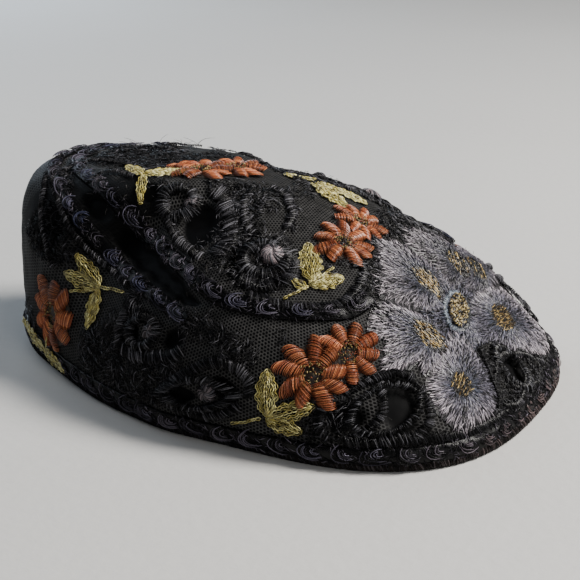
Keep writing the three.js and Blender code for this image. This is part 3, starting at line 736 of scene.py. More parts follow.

# Large front flower: each petal has an eye, and an outline of bearings and climbs round it
# each row's painted shade value darkens its floss: painted shade on the upper petals and on those on the far
# side
petalRows = [
    {"name": "upper_right", "eye": (-4, 50.5), "lean": 0.1, "eyeSize": 1.3, "gild": 1, "paintedShade": 0.85,
     "outline": [(-6, 43), (-20, 44), (-28, 47), (-34, 50), (-32, 55), (-24, 58), (-24, 62), (-14, 67),
         (-16, 71), (0, 69), (9, 64), (10, 59), (12, 54), (9, 49), (2, 45)]},
    {"name": "side_right", "eye": (-24, 36), "lean": 0.7, "eyeSize": 1.3, "gild": 1, "paintedShade": 1.0,
     "outline": [(-16, 37), (-19, 42), (-24, 45), (-29, 48), (-36, 49), (-41, 44), (-43, 39), (-38, 37),
         (-40, 33), (-42, 27), (-38, 27), (-34, 28), (-31, 30), (-32, 25), (-28, 26), (-23, 30),
         (-18, 33)]},
    {"name": "lower_right", "eye": (-23, 20), "lean": -0.6, "eyeSize": 1.0, "gild": 0.8, "paintedShade": 1.0,
     "outline": [(-17, 34), (-24, 31), (-28, 27), (-32, 24), (-33, 19), (-33, 15), (-31, 12), (-29, 8),
         (-25, 7.5), (-22, 9), (-17, 9), (-14, 11), (-12, 14), (-11, 17), (-9, 21), (-8, 26), (-7, 30),
         (-10, 33)]},
    {"name": "lower_left", "eye": (14.5, 27.5), "lean": 0.0, "eyeSize": 1.3, "gild": 1, "paintedShade": 1.0,
     "outline": [(2, 34), (10, 38), (19, 37), (27, 35), (31, 30), (31, 24), (29, 17), (29, 11), (24, 9),
         (18, 9), (14, 12), (12, 15), (6, 17), (4, 20), (2, 23), (0, 26), (-4, 28), (-4, 31)]},
    {"name": "upper_left", "eye": (23, 47.5), "lean": 0.3, "eyeSize": 1.2, "gild": 0.35, "paintedShade": 0.7,
     "outline": [(4, 45), (9, 49), (12, 54), (10, 59), (10, 64), (20, 67), (27, 65), (34, 60), (37, 54),
         (38, 50), (34, 47), (28, 45), (16, 43), (10, 43)]},
    {"name": "side_left", "eye": (28.5, 41), "lean": 0.3, "eyeSize": 1.1, "gild": 0.4, "paintedShade": 0.75,
     "outline": [(12, 40), (20, 43), (29, 46), (38, 47), (44, 42), (42, 37), (44, 32), (41, 27), (37, 29),
         (33, 31), (27, 34), (19, 36)]},
]
petalLook = {
    "middle": (-2, 38), "thick": 1.1, "edge": 0.35, "lift": 0.35, "ground": dyeAndPaintedLight(20, 20, 24),
    "groundRings": 14, "groundSpokes": 96, "groundDrop": 0.4,
    "rings": 14, "thread": 0.42, "flat": 0.36, "long": 3.8, "cover": 0.8, "fewest": 10, "deepShare": 0.3,
    "eyeAcross": 4.0, "eyeAlong": 4.8, "eyeShare": 0.94, "eyeThreads": 380, "eyeGilt": 0.46, "eyeFlat": 0.32,
    "blue": dyeAndPaintedLight(56, 61, 75), "lilac": dyeAndPaintedLight(98, 95, 108), "pale": dyeAndPaintedLight(196, 186, 193),
    "dark": dyeAndPaintedLight(13, 13, 17), "gold": dyeAndPaintedLight(122, 96, 50), "straw": dyeAndPaintedLight(206, 178, 114), "brown": dyeAndPaintedLight(16, 13, 10),
}
bedLook = {
    "threads": 2000, "long": (1.8, 3.4), "start": 1.5, "toward": (-2, 50),
    "outline": [(-20, 45), (-8, 52), (4, 55), (14, 52), (21, 44), (24, 38), (20, 31), (12, 27), (4, 26),
                (-4, 26), (-10, 26), (-17, 30), (-22, 36)],
}


def padHeight(share, thick, edge):
    # height of a padded patch: edge height at its outline, full height over its middle
    rise = np.clip((1 - share) / 0.45, 0, 1)
    return edge + (thick - edge) * rise * rise * (3 - 2 * rise)


def petalGround(place, reach):
    # dark ground under the floss: rings of the petal's outline, drawn in step by step to its eye
    look = petalLook
    share = np.linspace(0.02, 1, look["groundRings"])[:, None]
    angle = np.linspace(0, 2 * np.pi, look["groundSpokes"] + 1)[None, :-1]
    r = share * reach(angle)
    u, v = r * np.cos(angle), r * np.sin(angle)
    height = look["lift"] + padHeight(share, look["thick"], look["edge"]) - look["groundDrop"]
    points, _ = place(u, v, height)
    flat = np.stack([u, v], -1)
    return grid(points[::-1], look["ground"], flat[::-1], closedV=True, pole=True)


def petalRing(row, place, reach, outer):
    # one ring of floss with its tips near a share of the outline, blue by the eye, then lilac
    # and pale, and darker on the side towards the flower's middle
    look = petalLook
    fine, arc = roundOutline(reach, 361, outer)
    count = max(int(arc[-1] / look["thread"] * look["cover"]), look["fewest"])
    at = evenTurns(fine, arc, count, 0.5)
    ragged = rng.normal(0, 0.3, count) + (rng.uniform(0, 0.7, count) if outer > 0.95 else 0)
    tip = reach(at) * outer + ragged
    swing = at - np.pi / 2 + row["lean"]
    acrossEye, alongEye = np.sin(swing) / look["eyeAcross"], np.cos(swing) / look["eyeAlong"]
    eye = look["eyeShare"] * row["eyeSize"] / np.hypot(acrossEye, alongEye)
    tip = np.maximum(tip, eye + 0.9)
    tail = tip - look["long"] * rng.uniform(0.6, 1.15, count)
    tail = np.maximum(tail, eye * rng.uniform(0.85, 1.1, count))
    s = np.linspace(0, 1, 3)[None]
    r = tail[:, None] + (tip - tail)[:, None] * s
    bend = at[:, None] + rng.normal(0, 0.05, count)[:, None] * s
    bend = bend + 0.18 * np.cos(at)[:, None] * (outer - 0.5)
    share = np.clip(r / reach(at)[:, None], 0, 1)
    height = look["lift"] + padHeight(share, look["thick"], look["edge"])
    height = height + 0.16 * np.sin(np.pi * s) + rng.uniform(-0.22, 0.12, count)[:, None] - 0.16 * s
    points, out = place(r * np.cos(bend), r * np.sin(bend), height)
    tone = (r - eye[:, None]) / (reach(at) - eye + 0.5)[:, None] + rng.normal(0, 0.14, count)[:, None]
    inward = np.clip(-np.sin(at), 0, 1)[:, None] ** 2
    colour = mixed(look["blue"], look["lilac"], (tone + 0.04) / 0.34 - 0.5 * inward)
    colour = mixed(colour, look["pale"], (tone - 0.35) / 0.75 * (1 - inward))
    deep = (rng.uniform(0, 1, count) < look["deepShare"])[:, None]
    colour = mixed(colour, look["dark"], deep * 0.9)
    # painted shade: the floss darkened by the row's painted shade value, with random change per thread
    colour = colour * row["paintedShade"] ** 2 * np.exp(rng.normal(0, 0.36, count))[:, None, None]
    width = look["thread"] * rng.uniform(0.75, 1.25, count)
    return strands(points, out, width, look["flat"], colour)


def petalEye(place, row):
    # gold and dark threads laid side by side over an oval eye, all leaning one way
    look, lean, size = petalLook, row["lean"], row["eyeSize"]
    count = int(look["eyeThreads"] * size)
    r, a = np.sqrt(rng.uniform(0, 1, count)), rng.uniform(0, 2 * np.pi, count)
    u, v = look["eyeAcross"] * size * r * np.cos(a), look["eyeAlong"] * size * r * np.sin(a)
    u, v = u * np.cos(lean) + v * np.sin(lean), v * np.cos(lean) - u * np.sin(lean)
    s = np.array([-0.5, 0.0, 0.5])[None] * rng.uniform(1.8, 3.8, (count, 1))
    turn = lean + rng.normal(0, 0.16, (count, 1))
    height = look["lift"] + look["thick"] + rng.uniform(-0.1, 0.4, (count, 1)) - 0.2 * np.abs(s) / 1.6
    points, out = place(u[:, None] + s * np.sin(turn), v[:, None] + s * np.cos(turn), height)
    palette = np.stack([look["gold"], look["straw"], look["brown"]])
    pick = rng.integers(0, 2, count)
    gilt = rng.uniform(0, 1, count) < look["eyeGilt"] * row["gild"] * (1 - 0.8 * r**4)
    colour = palette[np.where(gilt, pick, 2)] * np.exp(rng.normal(0, 0.25, count))[:, None]
    return strands(points, out, rng.uniform(0.22, 0.38, count), look["eyeFlat"], colour)


def addPetal(row):
    # floss in overlapping rings round the eye, each thread along its own ray from it
    look = petalLook
    away = np.array(look["middle"]) + 3 * (np.array(row["eye"], float) - look["middle"])
    toward = tuple(np.clip(away, (-170, 1), (170, 95)))
    place = localFrame(*row["eye"], toward)
    reach = polarReach(outlineIn(row["eye"], toward, row["outline"]), np.zeros(2))
    parts = [petalGround(place, reach)]
    for ring in range(look["rings"]):
        parts.append(petalRing(row, place, reach, (ring + 2) / (look["rings"] + 1)))
    parts.append(petalEye(place, row))
    makePiece(f"petal_floss_{row['name']}", parts, greyFloss, [f"front_petal_{row['name']}"])


def addFlowerBed():
    # short blue grey floss that fills the flower between its petals, combed out from its middle
    look = petalLook
    place = localFrame(*look["middle"], (look["middle"][0], look["middle"][1] + 12))
    reach = polarReach(outlineIn(look["middle"], bedLook["toward"], bedLook["outline"]), np.zeros(2))
    count = bedLook["threads"]
    at = rng.uniform(0, 2 * np.pi, count)
    tip = reach(at) * np.sqrt(rng.uniform(0.06, 1, count))
    tail = np.maximum(tip - rng.uniform(*bedLook["long"], count), bedLook["start"])
    s = np.linspace(0, 1, 3)[None]
    r = tail[:, None] + (tip - tail)[:, None] * s
    bend = at[:, None] + rng.normal(0, 0.06, count)[:, None] * s
    share = np.clip(r / reach(at)[:, None], 0, 1)
    height = 0.2 + 0.45 * np.sin(np.pi * share) + 0.12 * np.sin(np.pi * s)
    height = height + rng.uniform(-0.1, 0.2, count)[:, None]
    points, out = place(r * np.cos(bend), r * np.sin(bend), height)
    colour = mixed(look["blue"], look["lilac"], rng.normal(0.55, 0.35, count))
    colour = mixed(colour, look["dark"], 0.8 * (rng.uniform(0, 1, count) < 0.25))
    colour = colour * np.exp(rng.normal(0, 0.3, count))[:, None]
    bed = strands(points, out, look["thread"], look["flat"], colour)
    makePiece("petal_floss_bed", [bed], greyFloss)


for row in petalRows:
    addPetal(row)
addFlowerBed()
print("front flower stitched")

# Rust flowers: padded petals, each crossed by satin threads, round a speckled middle
rustRows = [
    {"name": "crown_front", "sides": (1,), "discs": [(-35, 71, 10.6), (-4, 77, 9.0)]},
    {"name": "crown_back", "sides": (1,), "discs": [(-168, 79, 10.8), (176, 85, 10.4)]},
    {"name": "side_front", "discs": [(-59, 26, 11.4), (-49.5, 33, 10)],
     "far": [(-62, 25.5, 10.6), (-56.5, 29.5, 7.6)]},
    {"name": "side_back", "discs": [(-147, 17.2, 13.4)]},
]
rustLook = {
    "petals": 9, "core": 0.27, "threads": 30, "thick": 1.6, "lift": 0.4, "thread": 0.27, "flat": 0.36,
    "bed": 0.82, "heart": 0.65, "wide": 0.66, "overlap": 0.92,
    "rust": dyeAndPaintedLight(146, 75, 46), "bright": dyeAndPaintedLight(222, 142, 92), "deep": dyeAndPaintedLight(100, 48, 29),
    "seeds": 90, "seed": 0.42, "olive": dyeAndPaintedLight(104, 92, 50), "gold": dyeAndPaintedLight(172, 150, 94), "dark": dyeAndPaintedLight(38, 28, 20),
}


def seedStitches(place, radii, count, colours, size, lift):
    # small knots: short fat threads at random turns over an oval
    draws = rng.uniform(0, 1, (3, count))
    r, a = np.sqrt(draws[0]), 2 * np.pi * draws[1]
    u, v = radii[0] * r * np.cos(a), radii[1] * r * np.sin(a)
    turn = 2 * np.pi * draws[2]
    half = np.array([-0.5, 0.0, 0.5]) * size * 1.8
    du, dv = half * np.cos(turn)[:, None], half * np.sin(turn)[:, None]
    height = lift + np.array([-0.2, 0.25, -0.2]) + rng.uniform(-0.15, 0.25, count)[:, None]
    points, out = place(u[:, None] + du, v[:, None] + dv, height)
    pick = np.asarray(colours)[rng.integers(0, len(colours), count)]
    pick = pick * np.exp(rng.normal(0, 0.2, count))[:, None]
    return strands(points, out, size * rng.uniform(0.7, 1.2, count), size, pick)


def rustBed(place, radius):
    # dark bed under a flower: rings from its middle out to a share of its radius
    look = rustLook
    r = radius * look["bed"] * np.sqrt(np.linspace(0.001, 1, 6))[:, None]
    ring = np.linspace(0, 2 * np.pi, 25)[None, :-1]
    points, _ = place(r * np.cos(ring), r * np.sin(ring), 0.25 + 0.1 * (1 - r / radius))
    flat = np.stack(np.broadcast_arrays(r, ring), -1)
    return grid(points[::-1], look["dark"], flat, closedV=True, pole=True)


def rustPetal(place, radius, reach, wide, phi):
    # satin threads side by side across a padded petal, leaning a little and domed over it, with painted
    # shade down its sides
    look = rustLook
    core, count = look["core"] * radius, look["threads"]
    t = (np.arange(count) + 0.5 + rng.normal(0, 0.22, count)) / count
    profile = np.sin(np.pi * np.clip(t * 0.76 + 0.15, 0, 1)) ** 0.3 * (0.86 + 0.2 * t)
    half = wide * profile * rng.uniform(0.88, 1.1, count)
    s = np.linspace(-1, 1, 5)[None]
    fan = 0.24 + 0.2 * rng.normal() + 0.35 * (t - 0.5)
    radial = core + (reach - core) * t[:, None] + fan[:, None] * half[:, None] * s
    radial = radial + 0.12 * (reach - core) * (t[:, None] - 0.2) * (1 - s**2)
    radial = radial + rng.normal(0, 0.08, (count, 1))
    across = half[:, None] * s
    u = radial * np.cos(phi) - across * np.sin(phi)
    v = radial * np.sin(phi) + across * np.cos(phi)
    dome = np.sqrt(np.clip(1 - s**2 * 0.96, 0, 1))
    belly = np.sin(np.pi * np.clip(t * 0.86 + 0.07, 0, 1)) ** 0.5
    height = look["lift"] + look["thick"] * dome * belly[:, None] * 0.9 + rng.normal(0, 0.1, (count, 1))
    points, out = place(u, v, height)
    colour = mixed(look["rust"], look["bright"], 0.22 + 0.5 * rng.normal(0, 1, count))
    colour = mixed(colour, look["deep"], 0.5 * (rng.uniform(0, 1, count) < 0.14))
    # painted shade: the ends of each thread, down the petal's sides towards the gaps between petals,
    # darkened towards the deep rust
    edge = (np.abs(s) > 0.8) * 0.6
    colour = mixed(colour[:, None], look["deep"], edge * np.ones((count, 1)))
    return points, out, look["thread"] * rng.uniform(0.8, 1.25, count), colour


def rustDisc(bearing, climb, radius, side, skip, seed):
    # one flower: its bed, its petals round it but for those that skip names, and its seeds
    look = rustLook
    place = sided({"at": (bearing, climb), "toward": (bearing, climb + 10)}, side)
    spin = np.random.default_rng(seed).uniform(0, 2 * np.pi)
    parts = [rustBed(place, radius)]
    for k in range(look["petals"]):
        phi = spin + 2 * np.pi * (k + rng.normal(0, 0.1)) / look["petals"]
        blush = rng.normal(0, 0.14)
        reach = radius * rng.uniform(0.86, 1.06)
        wide = 2 * np.pi * look["wide"] * radius / look["petals"] * rng.uniform(0.96, 1.14) / 2
        heart = look["heart"] * radius
        if skip is not None and skip(place, (heart * np.cos(phi), heart * np.sin(phi))):
            continue
        points, out, width, colour = rustPetal(place, radius, reach, wide, phi)
        parts.append(strands(points, out, width, look["flat"], colour * np.exp(blush), ends=0.6))
    colours = [look["olive"], look["gold"], look["dark"], look["rust"]]
    radii = (look["core"] * radius * 1.35,) * 2
    parts.append(seedStitches(place, radii, look["seeds"], colours, look["seed"], look["lift"] + 1.0))
    return parts


def sideName(kind, row, side):
    # name of a piece, with its side where the row stands on both
    suffix = "_right" if side > 0 else "_left"
    return f"{kind}_{row['name']}{'' if 'sides' in row else suffix}"


def overlapping(heart, radius):
    # test for the petals of a second flower whose hearts lie on the first one
    def skip(place, centre):
        spot, _ = place(centre[0], centre[1], 0.0)
        return np.linalg.norm(spot - heart) < rustLook["overlap"] * radius

    return skip


def addRustFlowers():
    for n, row in enumerate(rustRows):
        for side in row.get("sides", bothSides):
            parts, skip = [], None
            discs = row["discs"] if side > 0 else row.get("far", row["discs"])
            for d, (bearing, climb, radius) in enumerate(discs):
                parts += rustDisc(bearing, climb, radius, side, skip, 40 + 3 * n + d)
                skip = overlapping(climbPoint(side * bearing, climb), radius)
            name = sideName("rust_flower", row, side)
            makePiece(f"{name}_satin", parts, rustFloss, [name])


addRustFlowers()
print("rust flowers stitched")

# Leaf sprigs in gold chain stitch: each leaf by the bearings and climbs of its foot and tip, and
# its width
sprigRows = [
    {"name": "crown_front", "sides": (1,), "at": (-58, 54.5), "leaves": [(-57, 55.5, -56.5, 70.4, 7),
         (-58, 54, -44.5, 57.6, 6.2), (-60, 52.4, -64.5, 55, 3.2), (-58.5, 53.4, -68, 47, 1.6),
         (-53, 57.5, -46.5, 61.9, 1.2)]},
    {"name": "crown_top", "sides": (1,), "at": (45, 86), "leaves": [(5, 84, 64, 94.5, 6.2),
         (33, 79, 74, 90.5, 5.4), (84, 89.5, 116, 91, 5.6), (120, 90.5, 142, 91, 4.2),
         (4, 84, -10, 81, 1.4)]},
    {"name": "crown_back", "sides": (1,), "at": (-156, 65), "leaves": [(-157, 64.2, -166, 62, 4.6),
         (-157.5, 64.8, -163, 76, 6.2), (-156, 64.2, -144.5, 58, 3.0)]},
    {"name": "side_front", "at": (-70, 14), "leaves": [(-70, 13.5, -70.3, 26, 6.4),
         (-69.5, 13, -59, 17.5, 5.2), (-70, 12.4, -62, 10, 5.0), (-71.5, 12.2, -80, 8.8, 1.6),
         (-66, 15, -62, 20, 1.2)]},
    {"name": "side_back", "at": (-136, 32.5), "leaves": [(-136, 33, -144.8, 36, 5.0),
         (-136.5, 32.5, -145.5, 30, 4.6), (-135.5, 32, -133.5, 20.8, 6.4), (-135.5, 33.2, -125, 36, 1.4),
         (-135.5, 32.5, -143, 26.5, 1.1)]},
    {"name": "side_low", "at": (-152, 5.5), "lift": 1.7, "leaves": [(-152, 5, -163, 7.5, 5.0),
         (-151.5, 5.2, -142, 3.8, 4.6), (-151, 5.5, -149, 10.5, 1.2)]},
]
leafLook = {
    "thread": 0.42, "flat": 0.46, "stitch": 2.0, "step": 1.4, "bow": 0.4, "lift": 0.7, "row": 1.0,
    "gold": dyeAndPaintedLight(194, 178, 90), "pale": dyeAndPaintedLight(250, 243, 172), "olive": dyeAndPaintedLight(96, 84, 40),
}


def chainRun(path, look):
    # chain stitch along a plane path: links of two threads that bow apart and meet at both ends
    arc = arcLengths(path)
    count = max(int(arc[-1] / look["step"]), 2)
    at = (np.arange(count) + 0.5) * arc[-1] / count

    def spot(along):
        return np.stack([np.interp(along, arc, path[:, k]) for k in range(2)], -1)

    ahead = unit(spot(at + 0.2) - spot(at - 0.2))
    beside = np.stack([-ahead[:, 1], ahead[:, 0]], -1)
    s = np.array([-0.5, -0.2, 0.25, 0.5])[None, :, None]
    bow = look["bow"] * (1 - 4 * s**2) * rng.uniform(0.7, 1.3, (2 * count, 1, 1))
    hand = np.repeat([1, -1], count)[:, None, None]
    twice = [np.concatenate([part, part])[:, None] for part in (spot(at), ahead, beside)]
    return twice[0] + twice[1] * s * look["stitch"] + twice[2] * hand * bow


def leafPaths(foot, tip, wide, look):
    # nested wavy ovals from the foot of a leaf to its tip, and a vein up its middle
    paths = []
    margin, shorter = 0.2, 1.7  # edge left outside the first oval, and what each next one loses
    t = np.linspace(0, 1, 60)
    along = tip - foot
    long = np.linalg.norm(along)
    shape = np.sin(np.pi * t**0.85) ** 0.7 * (1 + 0.16 * np.sin(t * long * 1.9 + rng.uniform(0, 6)))
    rows = int(wide / 2 / look["row"])
    for k in range(rows):
        half = wide / 2 - margin - k * look["row"]
        y = (0.5 * k + (long - shorter * k) * t) / long
        there, back = np.stack([half * shape, y], -1), np.stack([-half * shape, y], -1)[::-1]
        paths.append(np.concatenate([there, back]))
    paths.append(np.stack([0.15 * np.sin(9 * t), 0.02 + 0.92 * t], -1))
    beside = np.array([along[1], -along[0]]) / long
    return [foot + p[:, :1] * beside + p[:, 1:] * along for p in paths]


def addSprigs():
    look = leafLook
    s = np.array([-0.12, 0.12, 0.14, -0.1])[None]
    for row in sprigRows:
        for side in row.get("sides", bothSides):
            at = mirrored(row["at"], side)
            toward = (at[0], at[1] + 8)
            place = localFrame(*at, toward)
            parts = []
            for leaf in row["leaves"]:
                foot, tip = outlineIn(at, toward, [mirrored(leaf[:2], side), mirrored(leaf[2:4], side)])
                for k, path in enumerate(leafPaths(foot, tip, leaf[4], look)):
                    runs = chainRun(path, look)
                    count = len(runs)
                    height = row.get("lift", look["lift"]) + 0.2 * k + s
                    height = height + rng.uniform(-0.14, 0.1, (count, 1))
                    points, out = place(runs[..., 0], runs[..., 1], height)
                    colour = mixed(look["gold"], look["pale"], rng.normal(0.42, 0.5, count))
                    colour = mixed(colour, look["olive"], rng.uniform(0, 1, count) ** 2)
                    width = look["thread"] * rng.uniform(0.8, 1.25, count)
                    parts.append(strands(points, out, width, look["flat"], colour))
            name = sideName("leaf_sprig", row, side)
            solid = [] if row["name"] == "side_low" else [name]
            makePiece(f"{name}_chain", parts, goldFloss, solid)


addSprigs()
print("leaf sprigs stitched")

# Satin borders round the eyelets and scrolls
scrollRows = [
    {"name": "crown_eyelet", "at": (-140, 66), "toward": (-136, 70), "long": 14.0, "wide": 13.5, "power": 2,
     "open": 0.5},
    {"name": "crown_boss", "at": (-78, 60.5), "toward": (-65, 63), "long": 18, "wide": 16, "power": 2,
     "open": 0.5},
    {"name": "side_eyelet", "at": (-112, 28), "toward": (-105, 30), "long": 15, "wide": 11.5, "power": 2,
     "open": 0.55},
    {"name": "side_eye", "at": (-90, 15.5), "toward": (-76, 18), "long": 32, "wide": 11, "power": 1.35,
     "open": 0.66},
    {"name": "front_recess", "at": (-43.5, 17.5), "toward": (-33, 21), "long": 26, "wide": 15, "power": 1.7,
     "open": 0.82},
    {"name": "nose_eyelet", "sides": (1,), "at": (1, 15.5), "toward": (0, 24), "long": 19, "wide": 14,
     "power": 1.8, "open": 0.68},
]
scrollLook = {
    "thread": 0.37, "flat": 0.42, "thick": 1.5, "lift": 0.3, "fringe": 1.6,
    "arch": np.array([0.0, 0.92, 0.95, 0.7, 0.12]),
    "black": dyeAndPaintedLight(6, 6, 7), "grey": dyeAndPaintedLight(110, 110, 116),
}


def pointedReach(row):
    # reach of a pointed oval from its middle, as a function of the angle
    def reach(at):
        across = np.abs(2 * np.cos(at) / row["wide"]) ** row["power"]
        along = np.abs(2 * np.sin(at) / row["long"]) ** row["power"]
        return (across + along) ** (-1 / row["power"])

    return reach


def addScrolls():
    # threads from the inner to the outer edge of each border, arched over its padding
    look = scrollLook
    s = np.linspace(0, 1, 5)[None]
    for row in scrollRows:
        reach = pointedReach(row)
        for side in row.get("sides", bothSides):
            place = sided(row, side)
            fine, arc = roundOutline(reach, 721)
            count = int(arc[-1] / look["thread"])
            at = evenTurns(fine, arc, count, 0.3)
            outer = reach(at) + rng.uniform(-0.2, look["fringe"], count)
            inner = reach(at) * row["open"] - 0.2 + rng.normal(0, 0.15, count)
            r = inner[:, None] + (outer - inner)[:, None] * s
            bend = at[:, None] + rng.normal(0, 0.03, (count, 1)) * s
            height = look["lift"] + look["thick"] * look["arch"] + rng.uniform(-0.15, 0.15, (count, 1))
            points, out = place(r * np.cos(bend), r * np.sin(bend), height)
            # painted highlights: a few black threads greyed at random
            colour = mixed(look["black"], look["grey"], rng.uniform(0, 1, count) ** 4.5)
            width = look["thread"] * rng.uniform(0.8, 1.2, count)
            name = sideName("scroll", row, side)
            border = strands(points, out, width, look["flat"], colour)
            makePiece(f"{name}_satin", [border], blackFloss, [name])


addScrolls()
print("scroll borders stitched")

# Padded satin lines that draw the scrolls between the eyelets, by bearings and climbs
satinRows = [
    {"name": "upper_band", "width": 3.2, "path": [(-80, 47), (-66, 45.5), (-56, 46.5), (-49, 48), (-43, 52),
         (-38, 56), (-33, 60), (-31, 64), (-35, 65), (-37, 61)]},
    {"name": "eyelet_tail", "width": 3.2, "path": [(-143, 64), (-138, 61), (-130, 59), (-120, 57),
         (-111, 56), (-104, 55)]},
    {"name": "hollow_right", "width": 6.0, "path": [(-142, 77), (-130, 77), (-112, 73), (-102, 68),
         (-98, 62), (-100, 57)]},
    {"name": "island_right", "width": 3.0, "path": [(-130, 92), (-100, 92), (-80, 90), (-67, 82),
         (-70, 75)]},
    {"name": "island_left", "width": 3.4, "path": [(-128, 85), (-110, 78), (-96, 72), (-88, 69)]},
    {"name": "boss_fringe", "width": 5.0, "path": [(-76, 71.5), (-68, 67), (-64, 62), (-65, 57),
         (-70, 52.5), (-77, 50.5), (-85, 52)]},
    {"name": "ring_low", "width": 4.2, "path": [(-119, 22), (-113, 20.5), (-106, 22), (-100, 24),
         (-96, 27)]},
    {"name": "ring_left", "width": 3.2, "path": [(-121, 34), (-121, 30), (-121, 26), (-119, 22)]},
    {"name": "eye_top", "width": 3.2, "path": [(-101, 13), (-97, 18), (-92, 22), (-88, 25), (-83, 26),
         (-78, 25), (-75, 22), (-75, 17)]},
    {"name": "eye_low", "width": 3.0, "path": [(-100, 12), (-95, 9.5), (-88, 9), (-82, 11), (-77, 15)]},
    {"name": "recess_top", "width": 2.4, "path": [(-52, 22), (-46, 25.5), (-40, 27.5), (-35.5, 26.5)]},
    {"name": "recess_right", "width": 3.0, "path": [(-36, 27), (-34, 22), (-33.5, 17), (-35, 12.5),
         (-39, 9)]},
    {"name": "recess_low", "width": 4.0, "path": [(-38, 9.5), (-43, 9.5), (-48, 8.5), (-53, 8.5)]},
    {"name": "recess_ridge", "width": 2.6, "path": [(-43.5, 25), (-43.5, 20), (-44.5, 16), (-47, 13),
         (-51, 10)]},
    {"name": "recess_left", "width": 3.0, "path": [(-55, 20), (-58, 16), (-58.5, 12), (-56, 8.5)]},
    {"name": "nose_side", "width": 2.2, "pale": 0.5, "path": [(-5, 26), (-8, 21), (-10, 16.5), (-12, 12),
         (-15, 9)]},
    {"name": "nose_ring", "width": 2.6, "pale": 0.4, "path": [(-3, 19.5), (2, 20), (8, 17), (12, 13),
         (12, 9), (7, 6.5), (1, 8), (-4, 11), (-5, 15)]},
    {"name": "rim_line", "width": 3.4, "flat": 0.35, "pale": 0.3, "path": [(-52, 8.5), (-36, 9), (-30, 7.8),
         (-20, 7.2), (-10, 7), (0, 7)]},
    {"name": "nape_one", "width": 2.0, "path": [(-176, 44), (-168, 44.5), (-160, 43.5), (-154, 42),
         (-149, 40), (-143, 39), (-136, 39), (-126, 38)]},
    {"name": "nape_two", "width": 2.0, "path": [(-166, 43), (-161, 41), (-157, 37), (-153, 33),
         (-149, 29)]},
    {"name": "top_cord", "width": 2.2, "path": [(-166, 46), (-170, 49), (-172, 53), (-170, 58),
         (-167, 64)]},
    {"name": "top_curl", "width": 2.0, "path": [(-158, 51), (-161, 55), (-161, 59), (-156, 62)]},
    {"name": "side_tuft", "width": 4.5, "path": [(-123, 34), (-119, 33), (-115, 33)]},
]
satinLook = {
    "thread": 0.35, "flat": 0.4, "thick": 1.0, "lift": 0.25, "shortThread": 0.38, "shortFlat": 0.36,
    "tufted": 1.2, "filled": 1.14, "knotted": 36, "knotThread": 0.5, "knotFlat": 0.42,
    "black": dyeAndPaintedLight(6, 6, 7), "grey": dyeAndPaintedLight(110, 109, 115), "pink": dyeAndPaintedLight(176, 160, 164),
}

# Tufts of dark stitching: bearing, climb, radius, and the turn of their threads from a whorl
tuftRows = np.array([
    [-140, 80, 7, 0.2], [-88, 67, 5, 1.2], [-82, 30, 5.5, 0.1], [-121, 15, 8, 0.8], [-108, 13, 7, 0.5],
    [-166, 48, 6, 1.0], [-176, 58, 6.5, 0.7], [170, 66, 6.5, 0.3], [-104, 52, 5, 1.4], [-148, 33, 5, 1.2],
    [-54, 12, 4, 0.8], [-120, 37, 4.5, 1.3], [-101, 21, 5, 0.6], [-132, 12, 7, 0.4], [-3, 9, 4, 1.0],
    [-60, 95, 6, 0.6], [-152, 66, 5, 0.5], [-127, 27, 4, 0.2], [-75, 49, 4, 1.3], [-112, 58, 4, 1.1],
    [-68, 36, 3, 0.4], [-92, 37, 4, 1.2], [-160, 10, 6, 1.1],
    [-100, 84, 6, 0.7], [-48, 60, 3, 0.3], [-128, 19, 6, 1.3],
])

# Domed knots, and how many of their threads take a painted pinkish grey highlight
knotRows = [
    {"at": (-74.5, 62.5), "radius": 4.2, "height": 2.6, "pale": 0.75},
    {"at": (-86.5, 17), "radius": 3.2, "height": 1.8, "pale": 0.3},
    {"at": (-109, 29), "radius": 3.0, "height": 1.6, "pale": 0.15},
    {"at": (-137, 68.5), "radius": 2.6, "height": 1.6, "pale": 0.25},
    {"at": (-39, 33.5), "radius": 1.7, "height": 2.2, "pale": 0.0, "sides": (-1,)},
    {"at": (-35.5, 30.5), "radius": 1.9, "height": 2.4, "pale": 0.0, "sides": (-1,)},
    {"at": (-66, 80), "radius": 2.0, "height": 1.6, "pale": 0.0, "sides": (-1,)},
    {"at": (-100, 76.5), "radius": 2.6, "height": 1.8, "pale": 0.0, "sides": (-1,)},
]
